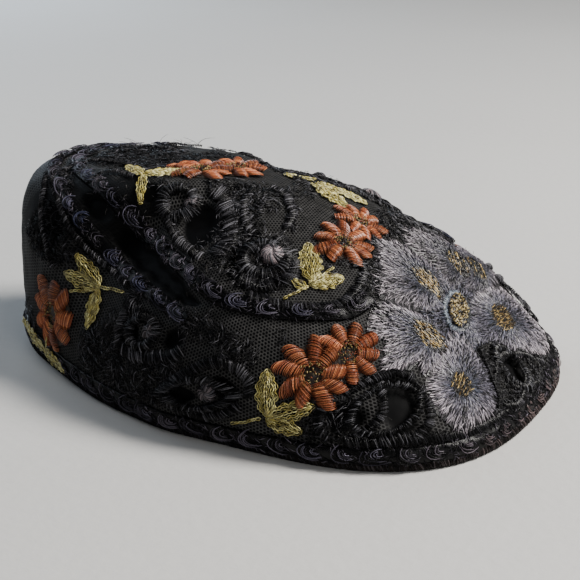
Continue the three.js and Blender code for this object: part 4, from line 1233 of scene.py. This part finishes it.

# Areas that the black thread covers in curling rows: how tall its ridges stand, how much painted grey
# highlight its threads get, and the bearings and climbs of the outline
fillRows = [
    {"name": "crown", "rise": 0.9, "pale": 1.0, "outline": [(-150, 77), (-143, 84), (-150, 89), (-138, 91),
         (-102, 86), (-90, 77), (-82, 70), (-72, 70), (-65, 66), (-63, 60), (-66, 53), (-76, 49.5),
         (-85, 49), (-91, 50.5), (-97, 53), (-99, 59), (-108, 60), (-115, 60), (-110, 63), (-113, 69),
         (-126, 73)]},
    {"name": "island", "rise": 0.6, "pale": 1.0, "outline": [(-136, 92), (-110, 94), (-70, 92), (-60, 84),
         (-63, 74), (-70, 71), (-73, 75), (-72, 84), (-86, 89), (-106, 88)]},
    {"name": "side_low", "rise": 0.5, "pale": 0.5, "outline": [(-136, 19), (-124, 26), (-116, 22),
         (-109, 19), (-101, 22), (-96, 25), (-93, 20), (-97, 14), (-102, 8.5), (-114, 8), (-126, 9),
         (-134, 12)]},
    {"name": "side_spiral", "rise": 0.5, "pale": 0.8, "outline": [(-88, 32), (-83, 35), (-77, 34),
         (-73, 31), (-74, 26.5), (-79, 25), (-85, 26)]},
    {"name": "braid_end", "rise": 0.5, "pale": 0.8, "outline": [(-101, 34), (-93, 37), (-84, 36.5),
         (-83, 33.5), (-90, 30.5), (-97, 30)]},
    {"name": "crown_rear", "rise": 0.25, "pale": 0.3, "outline": [(-180, 51), (-190, 58), (-192, 67),
         (-186, 74), (-177, 75), (-171, 68), (-166, 64), (-162, 58), (-166, 56), (-172, 53)]},
    {"name": "crown_top", "rise": 0.25, "pale": 0.3, "outline": [(-190, 66), (-202, 71), (-206, 77),
         (-190, 76), (-182, 75)]},
    {"name": "flower_side", "rise": 0.8, "pale": 1.1, "outline": [(-25, 68), (-12, 71), (-2, 70), (-14, 65),
         (-24, 59), (-31, 53), (-36, 48), (-43, 46), (-47, 49), (-42, 54), (-36, 60)]},
    {"name": "flower_top", "rise": 0.9, "pale": 1.1, "outline": [(30, 76), (48, 68), (44, 62), (20, 66),
         (0, 69), (-6, 72), (8, 74)]},
    {"name": "nose", "rise": 0.6, "pale": 0.6, "outline": [(14, 15), (18, 9), (9, 6), (-4, 6.5), (-13, 9.5),
         (-10, 13), (-3, 9.5), (6, 9.5), (10, 12)]},
    {"name": "nose_bridge", "rise": 0.5, "pale": 0.4, "outline": [(-7, 27), (-2, 25), (3, 21), (-3, 20),
         (-5, 15), (-4, 11), (-11, 10), (-10, 16)]},
    {"name": "recess", "rise": 0.5, "pale": 0.7, "outline": [(-66, 16), (-58, 20), (-52, 23), (-49, 20),
         (-50, 16), (-53, 12), (-49, 8), (-60, 7.6), (-68, 10)]},
    {"name": "nape_side", "rise": 0.3, "pale": 0.35, "outline": [(-161, 30), (-156, 28), (-150, 29),
         (-146, 33), (-141, 38), (-150, 40.5), (-158, 41.5)]},
    {"name": "nape_end", "rise": 0.5, "pale": 0.7, "outline": [(-168, 42), (-171, 46), (-163, 49),
         (-157, 47), (-160, 43)]},
]


def eachWay(run, side):
    return np.array(run, float) * [side, 1]


def smoothPath(places, window=41):
    # finer run through a path's corners, rounded by a moving average
    steps = np.concatenate([[0], np.cumsum(np.hypot(*(np.diff(places, axis=0) * [0.8, 1]).T))])
    fine = np.linspace(0, steps[-1], 400)
    spots = np.stack([np.interp(fine, steps, places[:, k]) for k in range(2)], -1)
    edge = window // 2
    before, after = 2 * spots[:1] - spots[edge:0:-1], 2 * spots[-1:] - spots[-2:-edge - 2:-1]
    return averaged(np.concatenate([before, spots, after]), window, "valid")


def satinLine(row, side):
    # threads laid across a line, arched over its padding, slanted and ragged at their ends
    look = satinLook
    place, length = clothRun(smoothPath(eachWay(row["path"], side)), 0.6)
    count = int(length / look["thread"])
    at = (np.arange(count) + rng.uniform(-0.3, 0.3, count)) * length / count
    half = row["width"] / 2 * (1 + rng.uniform(-0.1, 0.35, (count, 2)))
    s = np.array([0.0, 0.24, 0.76, 1.0])[None]
    across = -half[:, :1] + (half[:, :1] + half[:, 1:]) * s
    slant = 0.35 + 0.1 * np.sin(at / 3)[:, None] + rng.normal(0, 0.08, (count, 1))
    along = np.clip(at[:, None] + across * slant, 0.05, length - 0.05)
    thick = look["thick"] * row.get("flat", 1)
    height = look["lift"] + thick * np.sqrt(np.clip(1 - (2 * s - 1) ** 2, 0.02, 1))
    height = height + rng.uniform(-0.14, 0.14, (count, 1))
    points, out = place(along, across, height)
    # painted highlights: a few black threads greyed at random, fewer where a row's pale share is low
    colour = mixed(look["black"], look["grey"], row.get("pale", 1) * rng.uniform(0, 1, count) ** 4.5)
    return strands(points, out, look["thread"] * rng.uniform(0.8, 1.2, count), look["flat"], colour)


def tuft(row, side):
    # short threads over a disc, turned by one angle from the way round its centre
    look = satinLook
    bearing, climb, radius, turn = row
    place = localFrame(side * bearing, climb, (side * bearing, climb + (8 if climb < 80 else -8)))
    count = int(look["tufted"] * radius * radius)
    r, a = radius * np.sqrt(rng.uniform(0, 1, count)), rng.uniform(0, 2 * np.pi, count)
    way = a + np.pi / 2 + turn + rng.normal(0, 0.3, count)
    s = np.array([-0.5, 0.05, 0.5])[None] * rng.uniform(2.2, 4.0, (count, 1))
    u = (r * np.cos(a))[:, None] + s * np.cos(way)[:, None]
    v = (r * np.sin(a))[:, None] + s * np.sin(way)[:, None]
    height = 0.25 + 0.3 * (1 - (s / 2) ** 2) + rng.uniform(-0.1, 0.35, (count, 1))
    points, out = place(side * u, v, height)
    # painted highlights: a few black threads greyed at random
    colour = mixed(look["black"], look["grey"], rng.uniform(0, 1, count) ** 4)
    return strands(points, out, look["shortThread"], look["shortFlat"], colour)


def insideOf(u, v, corners):
    # even-odd test of places against a closed outline
    x, y = corners.T
    nextX, nextY = np.roll(x, -1), np.roll(y, -1)
    spans = (y[None] > v[:, None]) != (nextY[None] > v[:, None])
    cross = x + (v[:, None] - y) * (nextX - x) / np.where(nextY == y, 1e-9, nextY - y)
    return (spans & (u[:, None] < cross)).sum(1) % 2 == 1


def curl(u, v, seed):
    # sum of bent waves whose contour lines are the curling rows of thread, with its slopes
    phase = np.random.default_rng(seed).uniform(0, 6.28, 4)
    step = 0.05

    def level(u, v):
        first = np.sin(u / 1.9 + 1.4 * np.sin(v / 2.6 + phase[0]) + phase[1])
        return first + np.sin(v / 2.1 + 1.4 * np.sin(u / 2.9 + phase[2]) + phase[3])

    slopeU = level(u + step, v) - level(u - step, v)
    slopeV = level(u, v + step) - level(u, v - step)
    return level(u, v), slopeU, slopeV


def fillArea(row, side, seed):
    # short threads along the contour lines of the curl, on ridges that follow it
    look = satinLook
    corners = eachWay(row["outline"], side)
    at = tuple(corners.mean(0))
    toward = (at[0], at[1] + 6) if at[1] < 90 else (at[0], at[1] - 6)
    plane = outlineIn(at, toward, corners)
    place = localFrame(*at, toward)
    low, high = plane.min(0) - 1, plane.max(0) + 1
    count = int(np.prod(high - low) * look["filled"])
    u, v = rng.uniform(low[0], high[0], count), rng.uniform(low[1], high[1], count)
    keep = insideOf(u + rng.normal(0, 0.5, count), v + rng.normal(0, 0.5, count), plane)
    u, v = u[keep], v[keep]
    count = len(u)
    level, slopeU, slopeV = curl(u, v, seed)
    way = np.arctan2(slopeU, -slopeV) + rng.normal(0, 0.25, count)
    s = np.array([-0.5, 0.0, 0.5])[None] * rng.uniform(1.5, 3.0, (count, 1))
    bow = 0.12 * (1 - (s / 1.2) ** 2) * rng.normal(1, 0.6, (count, 1))
    uu = u[:, None] + s * np.cos(way)[:, None] - bow * np.sin(way)[:, None]
    vv = v[:, None] + s * np.sin(way)[:, None] + bow * np.cos(way)[:, None]
    ridge = 0.5 + 0.5 * np.cos(3.6 * level)
    height = 0.2 + row["rise"] * ridge[:, None] + 0.12 * (1 - (s / 1.2) ** 2)
    height = height + rng.uniform(-0.1, 0.1, (count, 1))
    points, out = place(uu, vv, height)
    # painted highlight: threads on the tops of the ridges are greyer, and a few are greyed at random
    tone = np.clip(rng.uniform(0, 1, count) ** 3 * (0.1 + 0.8 * ridge) * row["pale"], 0, 1)
    colour = mixed(look["black"], look["grey"], tone)
    return strands(points, out, look["shortThread"], look["shortFlat"], colour)


def knot(row, side):
    # threads from the top of a dome down to its foot, laid round in two layers
    look = satinLook
    bearing, climb = mirrored(row["at"], side)
    place = localFrame(bearing, climb, (bearing, climb + 8))
    count = int(look["knotted"] * row["radius"])
    at = 2 * np.pi * (np.arange(count) + rng.uniform(-0.4, 0.4, count)) / count
    s = np.linspace(0.06, 1, 5)[None]
    r = row["radius"] * s * rng.uniform(0.8, 1.1, (count, 1))
    twist = at[:, None] + 0.9 * s + rng.normal(0, 0.12, (count, 1)) * s
    height = 0.3 + row["height"] * np.sqrt(np.clip(1 - s**2, 0, 1)) + rng.uniform(-0.15, 0.15, (count, 1))
    points, out = place(r * np.cos(twist), r * np.sin(twist), height)
    # painted highlights: threads greyed at random, and some tinted pinkish grey
    colour = mixed(look["black"], look["grey"], rng.uniform(0, 1, count) ** 2)
    colour = mixed(colour, look["pink"], row["pale"] * (rng.uniform(0, 1, count) < 0.4))
    return strands(points, out, look["knotThread"], look["knotFlat"], colour)


def addScrollWork():
    for side, suffix in ((1, "right"), (-1, "left")):
        lines = [satinLine(row, side) for row in satinRows]
        makePiece(f"scroll_lines_{suffix}", lines, blackFloss)
        dense = [tuft(row, side) for row in tuftRows]
        dense += [knot(row, side) for row in knotRows if side in row.get("sides", bothSides)]
        makePiece(f"scroll_tufts_{suffix}", dense, blackFloss)
        areas = [fillArea(row, side, 70 + n) for n, row in enumerate(fillRows)]
        makePiece(f"scroll_curls_{suffix}", areas, blackFloss)


addScrollWork()
print("scroll work stitched")

# Braids: whorls of nested loops along a run, over a dark cord
braidRows = [
    {"name": "crown_braid", "blue": 0.9, "width": 5.4, "thick": 1.4, "closed": False, "path": [(-37, 51),
         (-47, 45.5), (-73, 43), (-88, 44), (-97, 47), (-110, 50.5), (-126, 53), (-142, 53.5), (-156, 53.5),
         (-165, 51.5), (-172, 49.5), (-180, 48.5)]},
    {"name": "back_braid", "blue": 1.1, "width": 4.6, "thick": 1.3, "closed": False, "path": [(-97, 36),
         (-110, 38.5), (-129, 41), (-141, 42.3), (-152, 44), (-161, 45), (-170, 44.5), (-180, 44)]},
    {"name": "rim_braid", "blue": 0.35, "width": 5.6, "thick": 1.4, "closed": True, "path": [(0, 4.2),
         (-45, 4.6), (-90, 4.8), (-135, 5.0), (-180, 3.9)]},
]
braidLook = {
    "pitch": 9.6, "loops": 7, "thread": 0.38, "flat": 0.34, "lift": 0.3, "step": 0.5, "first": 0.8,
    "station": 1.2, "filler": 3.6, "fillThread": 0.34,
    "cordAcross": np.array([-1, -0.8, -0.4, 0, 0.4, 0.8, 1, 0.6, 0, -0.6]),
    "cordRise": np.array([0.05, 0.3, 0.5, 0.58, 0.5, 0.3, 0.05, -0.3, -0.3, -0.3]),
    "black": dyeAndPaintedLight(5, 5, 6), "blue": dyeAndPaintedLight(60, 65, 92), "grey": dyeAndPaintedLight(118, 112, 124), "rose": dyeAndPaintedLight(128, 110, 110),
}


def smoothRun(path, closed, window=61):
    # run of bearing and climb through the path's corners and, mirrored, round the other side,
    # whose bearings carry on below -180
    corners = np.array(path, float)
    other = corners[::-1][1:-1 if closed else None] * [-1, 1]
    other[:, 0] = np.where(other[:, 0] > 0, other[:, 0] - 360, other[:, 0])
    whole = np.concatenate([corners, other])
    if closed:
        whole = np.concatenate([whole, whole[:1] - [360, 0]])
    steps = np.concatenate([[0], np.cumsum(np.hypot(*(np.diff(whole, axis=0) * [1, 2]).T))])
    fine = np.linspace(0, steps[-1], 1200)
    spots = np.stack([np.interp(fine, steps, whole[:, k]) for k in range(2)], -1)
    edge = window - 1
    if closed:
        before, after = spots[-window:-1] + [360, 0], spots[1:window] - [360, 0]
    else:
        before, after = np.repeat(spots[:1], edge, 0), np.repeat(spots[-1:], edge, 0)
    return averaged(np.concatenate([before, spots, after]), window, "same")[edge:-edge]


def braidCord(row, place, length):
    # dark cord under the loops: a low section carried along the run
    look = braidLook
    along = np.linspace(0, length, int(length / look["station"]) + 1)
    along = along[:-1] if row["closed"] else along
    across = look["cordAcross"] * row["width"] / 2
    points, _ = place(along[:, None], across[None], look["lift"] + look["cordRise"][None] * row["thick"])
    uv = np.stack(np.broadcast_arrays(along[:, None], across[None]), -1)
    return grid(points, look["black"], uv, closedU=row["closed"], closedV=True)


def braidWhorls(row, place, length):
    # whorls of nested arcs that open up and forward, each arc a little larger than the last; at
    # the nose the rim braid's arcs are short and pinkish
    look = braidLook
    half = row["width"] / 2
    count = int(round(length / look["pitch"]))
    starts = (np.arange(count) + 0.5) * length / count + rng.normal(0, 0.5, count)
    hue = rng.uniform(0, 1, count) ** 1.5 * row["blue"]
    squash = rng.uniform(0.85, 1.15, (count, 1))
    tilt = rng.normal(1, 0.5, (count, 1))
    front = np.clip(1.6 - np.minimum(starts, length - starts) / 38, 0, 1) * row["closed"]
    parts = []
    for loop in range(look["loops"]):
        reach = look["first"] + look["step"] * loop + rng.normal(0, 0.05, (count, 1))
        turn = np.linspace(-1.35, 1.25, 9)[None] * (1 - 0.6 * front[:, None])
        turn = turn + rng.normal(0, 0.26, (count, 1)) - 0.8
        wave = 0.07 * np.sin(3 * turn + rng.uniform(0, 6.28, (count, 1)))
        x = reach * squash * (1.42 + wave) * np.cos(turn) - 1.2
        y = (reach * 0.86 * (1 + wave) * np.sin(turn) + 0.46 * half) * rng.normal(1, 0.05, (count, 1))
        x = x - 0.45 * y * tilt
        crown = np.sqrt(np.clip(1 - (y / half / 1.5) ** 2, 0.04, 1))
        height = look["lift"] + row["thick"] * crown * 0.95 + 0.2 * np.cos(turn + 0.75)
        jitter = rng.normal(0, 0.06, (count, 1))
        points, out = place(starts[:, None] + x + jitter, y, height + rng.uniform(-0.16, 0.16, (count, 1)))
        colour = mixed(mixed(look["grey"], look["rose"], front), look["blue"], hue)
        light = rng.uniform(0.1, 1, count) * (rng.uniform(0, 1, count) < 0.8)
        parts.append(strands(points, out, look["thread"], look["flat"], mixed(look["black"], colour, light)))
    return parts


def braidFiller(row, place, length):
    # short threads that fill the braid between and across its whorls
    look = braidLook
    half = row["width"] / 2
    count = int(length * look["filler"])
    spot, over = rng.uniform(0, length, count), rng.uniform(-1, 1, count) * half
    turn = rng.normal(0.9, 0.5, (count, 1)) * np.where(rng.uniform(0, 1, (count, 1)) < 0.3, -1, 1)
    s = np.array([-0.5, 0.0, 0.5])[None] * rng.uniform(1.4, 3.0, (count, 1))
    x, y = spot[:, None] + s * np.cos(turn), over[:, None] + s * np.sin(turn) * 0.8
    crown = np.sqrt(np.clip(1 - (y / half / 1.5) ** 2, 0.04, 1))
    height = look["lift"] + row["thick"] * crown * 0.62 + rng.uniform(-0.1, 0.2, (count, 1))
    points, out = place(x, y, height)
    colour = mixed(look["black"], look["grey"], rng.uniform(0, 1, count) ** 4)
    return strands(points, out, look["fillThread"], look["flat"], colour)


def addBraids():
    for row in braidRows:
        place, length = clothRun(smoothRun(row["path"], row["closed"]), 1, row["closed"])
        parts = [braidCord(row, place, length), *braidWhorls(row, place, length)]
        parts.append(braidFiller(row, place, length))
        makePiece(f"{row['name']}_loops", parts, blackFloss, [row["name"]])


addBraids()
print("braids laid")


# Middle of the front flower: gold knots in an oval with a pale blue ring
middleLook = {
    "at": (-1.8, 38.4), "toward": (10, 42), "across": 7.2, "tall": 17.0, "ring": 2.6,
    "knots": 330, "knot": 0.6, "knotLift": 1.8, "ringThreads": 700, "thread": 0.32,
    "gold": dyeAndPaintedLight(126, 106, 60), "pale": dyeAndPaintedLight(190, 170, 112), "dark": dyeAndPaintedLight(26, 22, 15),
    "blue": dyeAndPaintedLight(74, 86, 102), "paintedRingHighlight": dyeAndPaintedLight(158, 168, 180),
}


def addMiddle():
    look = middleLook
    place = localFrame(*look["at"], look["toward"])
    a, b = look["across"] / 2, look["tall"] / 2
    colours = [look["gold"], look["pale"], look["gold"], look["dark"], look["dark"]]
    knots = seedStitches(place, (a, b), look["knots"], colours, look["knot"], look["knotLift"])
    count = look["ringThreads"]
    at = rng.uniform(0, 2 * np.pi, count)
    s = np.linspace(0, 1, 3)[None]
    past = rng.uniform(0.3, 1, count)[:, None] + rng.uniform(1.0, look["ring"] - 0.6, count)[:, None] * s
    u, v = (a + past) * np.cos(at)[:, None], (b + past) * np.sin(at)[:, None]
    height = 1.3 - 0.25 * past + 0.2 * np.sin(np.pi * s) + rng.uniform(-0.2, 0.1, (count, 1))
    points, out = place(u, v, height)
    # painted highlight at the top of the ring, painted shade on its lower side
    colour = mixed(look["blue"], look["paintedRingHighlight"], rng.uniform(0, 1, count) * (0.6 - 0.4 * np.cos(at)))
    least = 0.8 * (rng.uniform(0, 1, count) < 0.25)
    colour = mixed(colour, look["dark"], np.clip(1.1 * np.cos(at), least, 0.85))
    ring = strands(points, out, look["thread"], look["thread"], colour)
    makePiece("front_flower_knots", [knots, ring], goldFloss, ["front_flower_middle"])


addMiddle()
print("flower middle knotted")

# Fuzz along the crown: loose ends that stand off the stitching
fuzzRows = [
    {"at": (166, 61), "spread": (5, 4), "count": 16, "long": (2.0, 7.0)},
    {"at": (174, 56), "spread": (8, 3), "count": 12, "long": (0.8, 2.4)},
    {"at": (-178, 50), "spread": (8, 3), "count": 10, "long": (0.8, 2.0)},
    {"at": (100, 76), "spread": (12, 3), "count": 16, "long": (0.8, 2.2)},
    {"at": (52, 79), "spread": (10, 4), "count": 18, "long": (0.8, 2.4)},
    {"at": (38, 34), "spread": (5, 4), "count": 16, "long": (0.8, 1.8)},
    {"at": (-140, 70), "spread": (10, 8), "count": 30, "long": (1.0, 3.0)},
    {"at": (-80, 58), "spread": (12, 8), "count": 40, "long": (0.8, 2.4)},
    {"at": (-150, 54), "spread": (10, 3), "count": 26, "long": (0.8, 2.2)},
    {"at": (-90, 40), "spread": (25, 5), "count": 30, "long": (0.8, 2.0)},
    {"at": (-60, 12), "spread": (50, 6), "count": 60, "long": (0.8, 2.2)},
]
fuzzLook = {"thread": 0.13, "root": 0.9, "black": dyeAndPaintedLight(20, 20, 22), "brown": dyeAndPaintedLight(84, 80, 78)}


def addFuzz():
    # hairs that leave the cloth and bend over, each in its own direction
    look, parts = fuzzLook, []
    for row in fuzzRows:
        count = row["count"]
        bearing = row["at"][0] + rng.normal(0, row["spread"][0], count)
        climb = np.clip(row["at"][1] + rng.normal(0, row["spread"][1], count), 6, 99)
        root, out = onCloth(climbPoint(bearing, climb), look["root"])
        way = rng.normal(0, 1, (count, 3))
        way = unit(way - out * (way * out).sum(-1, keepdims=True))
        long = rng.uniform(*row["long"], count)[:, None, None]
        s = np.linspace(0, 1, 6)[None, :, None]
        lean = rng.uniform(0.2, 0.9, count)[:, None, None]
        bend = rng.uniform(0.3, 1.2, count)[:, None, None]
        side = np.cross(out, way)[:, None] * rng.normal(0, 0.3, count)[:, None, None]
        rise = out[:, None] * (s - 0.45 * bend * s**2) * (1 - 0.4 * lean)
        path = root[:, None] + long * (rise + way[:, None] * (lean * s + 0.5 * bend * s**2) + side * s**2)
        ups = np.broadcast_to(unit(np.cross(way, out))[:, None], path.shape)
        colour = mixed(look["black"], look["brown"], rng.uniform(0, 1, count))
        parts.append(strands(path, ups, look["thread"], look["thread"], colour))
    makePiece("loose_threads", parts, blackFloss)


addFuzz()
print("loose threads added")

# Lining of the cap: the cloth's form drawn in by the walls' thickness, facing the head
liningLook = {"columns": 240, "rows": 50, "foot": 2.4, "top": 99.9, "drawnIn": 2.45, "level": 3.0}


def addLining():
    look = liningLook
    bearings = np.linspace(-180, 180, look["columns"] + 1)[:-1]
    foot = footClimb(bearings, look["foot"])
    climbs = foot + (look["top"] - foot) * np.linspace(0, 1, look["rows"])[:, None]
    base = climbPoint(bearings[None], climbs)
    points, _ = onCloth(base, -look["drawnIn"])
    points[..., 2] = np.where(base[..., 2] < look["level"], base[..., 2], points[..., 2])
    uv = crownMap(bearings, climbs)
    part = grid(points[:, ::-1], dyeAndPaintedLight(24, 24, 28), uv[:, ::-1], closedV=True, pole=True)
    piece = makePiece("lining_cloth", [part], groundCloth, ["ground_cap"])


addLining()
print("lining sewn in")

floorLook = {"reach": 4.0, "dark": (0.425, 0.42, 0.41, 1), "light": (0.56, 0.56, 0.545, 1)}


def addFloor():
    # plain pale floor with a faint mottle
    bench = Bench("pale floor", Roughness=0.85)
    place = bench.objectPlace()
    mottle = bench.noise(place, 3.0, 3.0)
    fine = bench.noise(place, 260.0, 3.0)
    colour = bench.mix(mottle * 0.5 + fine * 0.2, floorLook["dark"], floorLook["light"])
    material = bench.feed(Base_Color=colour, Normal=bench.bump(fine, 0.2, 0.001))
    mesh = bpy.data.meshes.new("floor")
    reach = floorLook["reach"]
    corners = [(-reach, -reach, 0), (reach, -reach, 0), (reach, reach, 0), (-reach, reach, 0)]
    mesh.from_pydata(corners, [], [(0, 1, 2, 3)])
    mesh.materials.append(material)
    floor = bpy.data.objects.new("floor", mesh)
    bpy.context.scene.collection.objects.link(floor)


addFloor()

# Camera at the photograph's viewing angle, and soft studio light
view = {
    "place": (0.2241, -0.4150, 0.1974), "target": (0.00691, 0.00187, 0.02686), "lens": 90.3,
    "sensor": 36.0, "far": 20.0, "lampTarget": (0, 0, 0.03), "sky": (0.8, 0.86, 0.95, 1), "skyPower": 0.12,
}
lampRows = [
    {"name": "key", "place": (0.75, 0.30, 0.85), "size": 0.4, "power": 34, "colour": (1.0, 0.96, 0.91)},
    {"name": "fill", "place": (-0.9, 0.1, 0.6), "size": 0.8, "power": 4, "colour": (0.80, 0.89, 1.0)},
    {"name": "rim", "place": (-0.72, 0.62, 0.3), "size": 0.5, "power": 3, "colour": (0.72, 0.85, 1.0)},
    {"name": "front", "place": (0.95, -0.75, 0.6), "size": 0.5, "power": 4.5, "colour": (1.0, 0.98, 0.96)},
]


def lookAt(thing, target):
    way = Vector(target) - thing.location
    thing.rotation_euler = way.to_track_quat("-Z", "Y").to_euler()


def addCameraAndLamps():
    lens = bpy.data.cameras.new("camera")
    lens.lens = view["lens"]
    lens.sensor_width = view["sensor"]
    lens.clip_end = view["far"]
    camera = bpy.data.objects.new("camera", lens)
    camera.location = view["place"]
    lookAt(camera, view["target"])
    bpy.context.scene.collection.objects.link(camera)
    bpy.context.scene.camera = camera
    for row in lampRows:
        light = bpy.data.lights.new(row["name"], "AREA")
        light.size = row["size"]
        light.energy = row["power"]
        light.color = row["colour"]
        lamp = bpy.data.objects.new(row["name"], light)
        lamp.location = row["place"]
        lookAt(lamp, view["lampTarget"])
        bpy.context.scene.collection.objects.link(lamp)
    world = bpy.data.worlds.new("studio")
    world.use_nodes = True
    background = world.node_tree.nodes["Background"]
    background.inputs["Color"].default_value = view["sky"]
    background.inputs["Strength"].default_value = view["skyPower"]
    bpy.context.scene.world = world


addCameraAndLamps()
print("camera and light set")
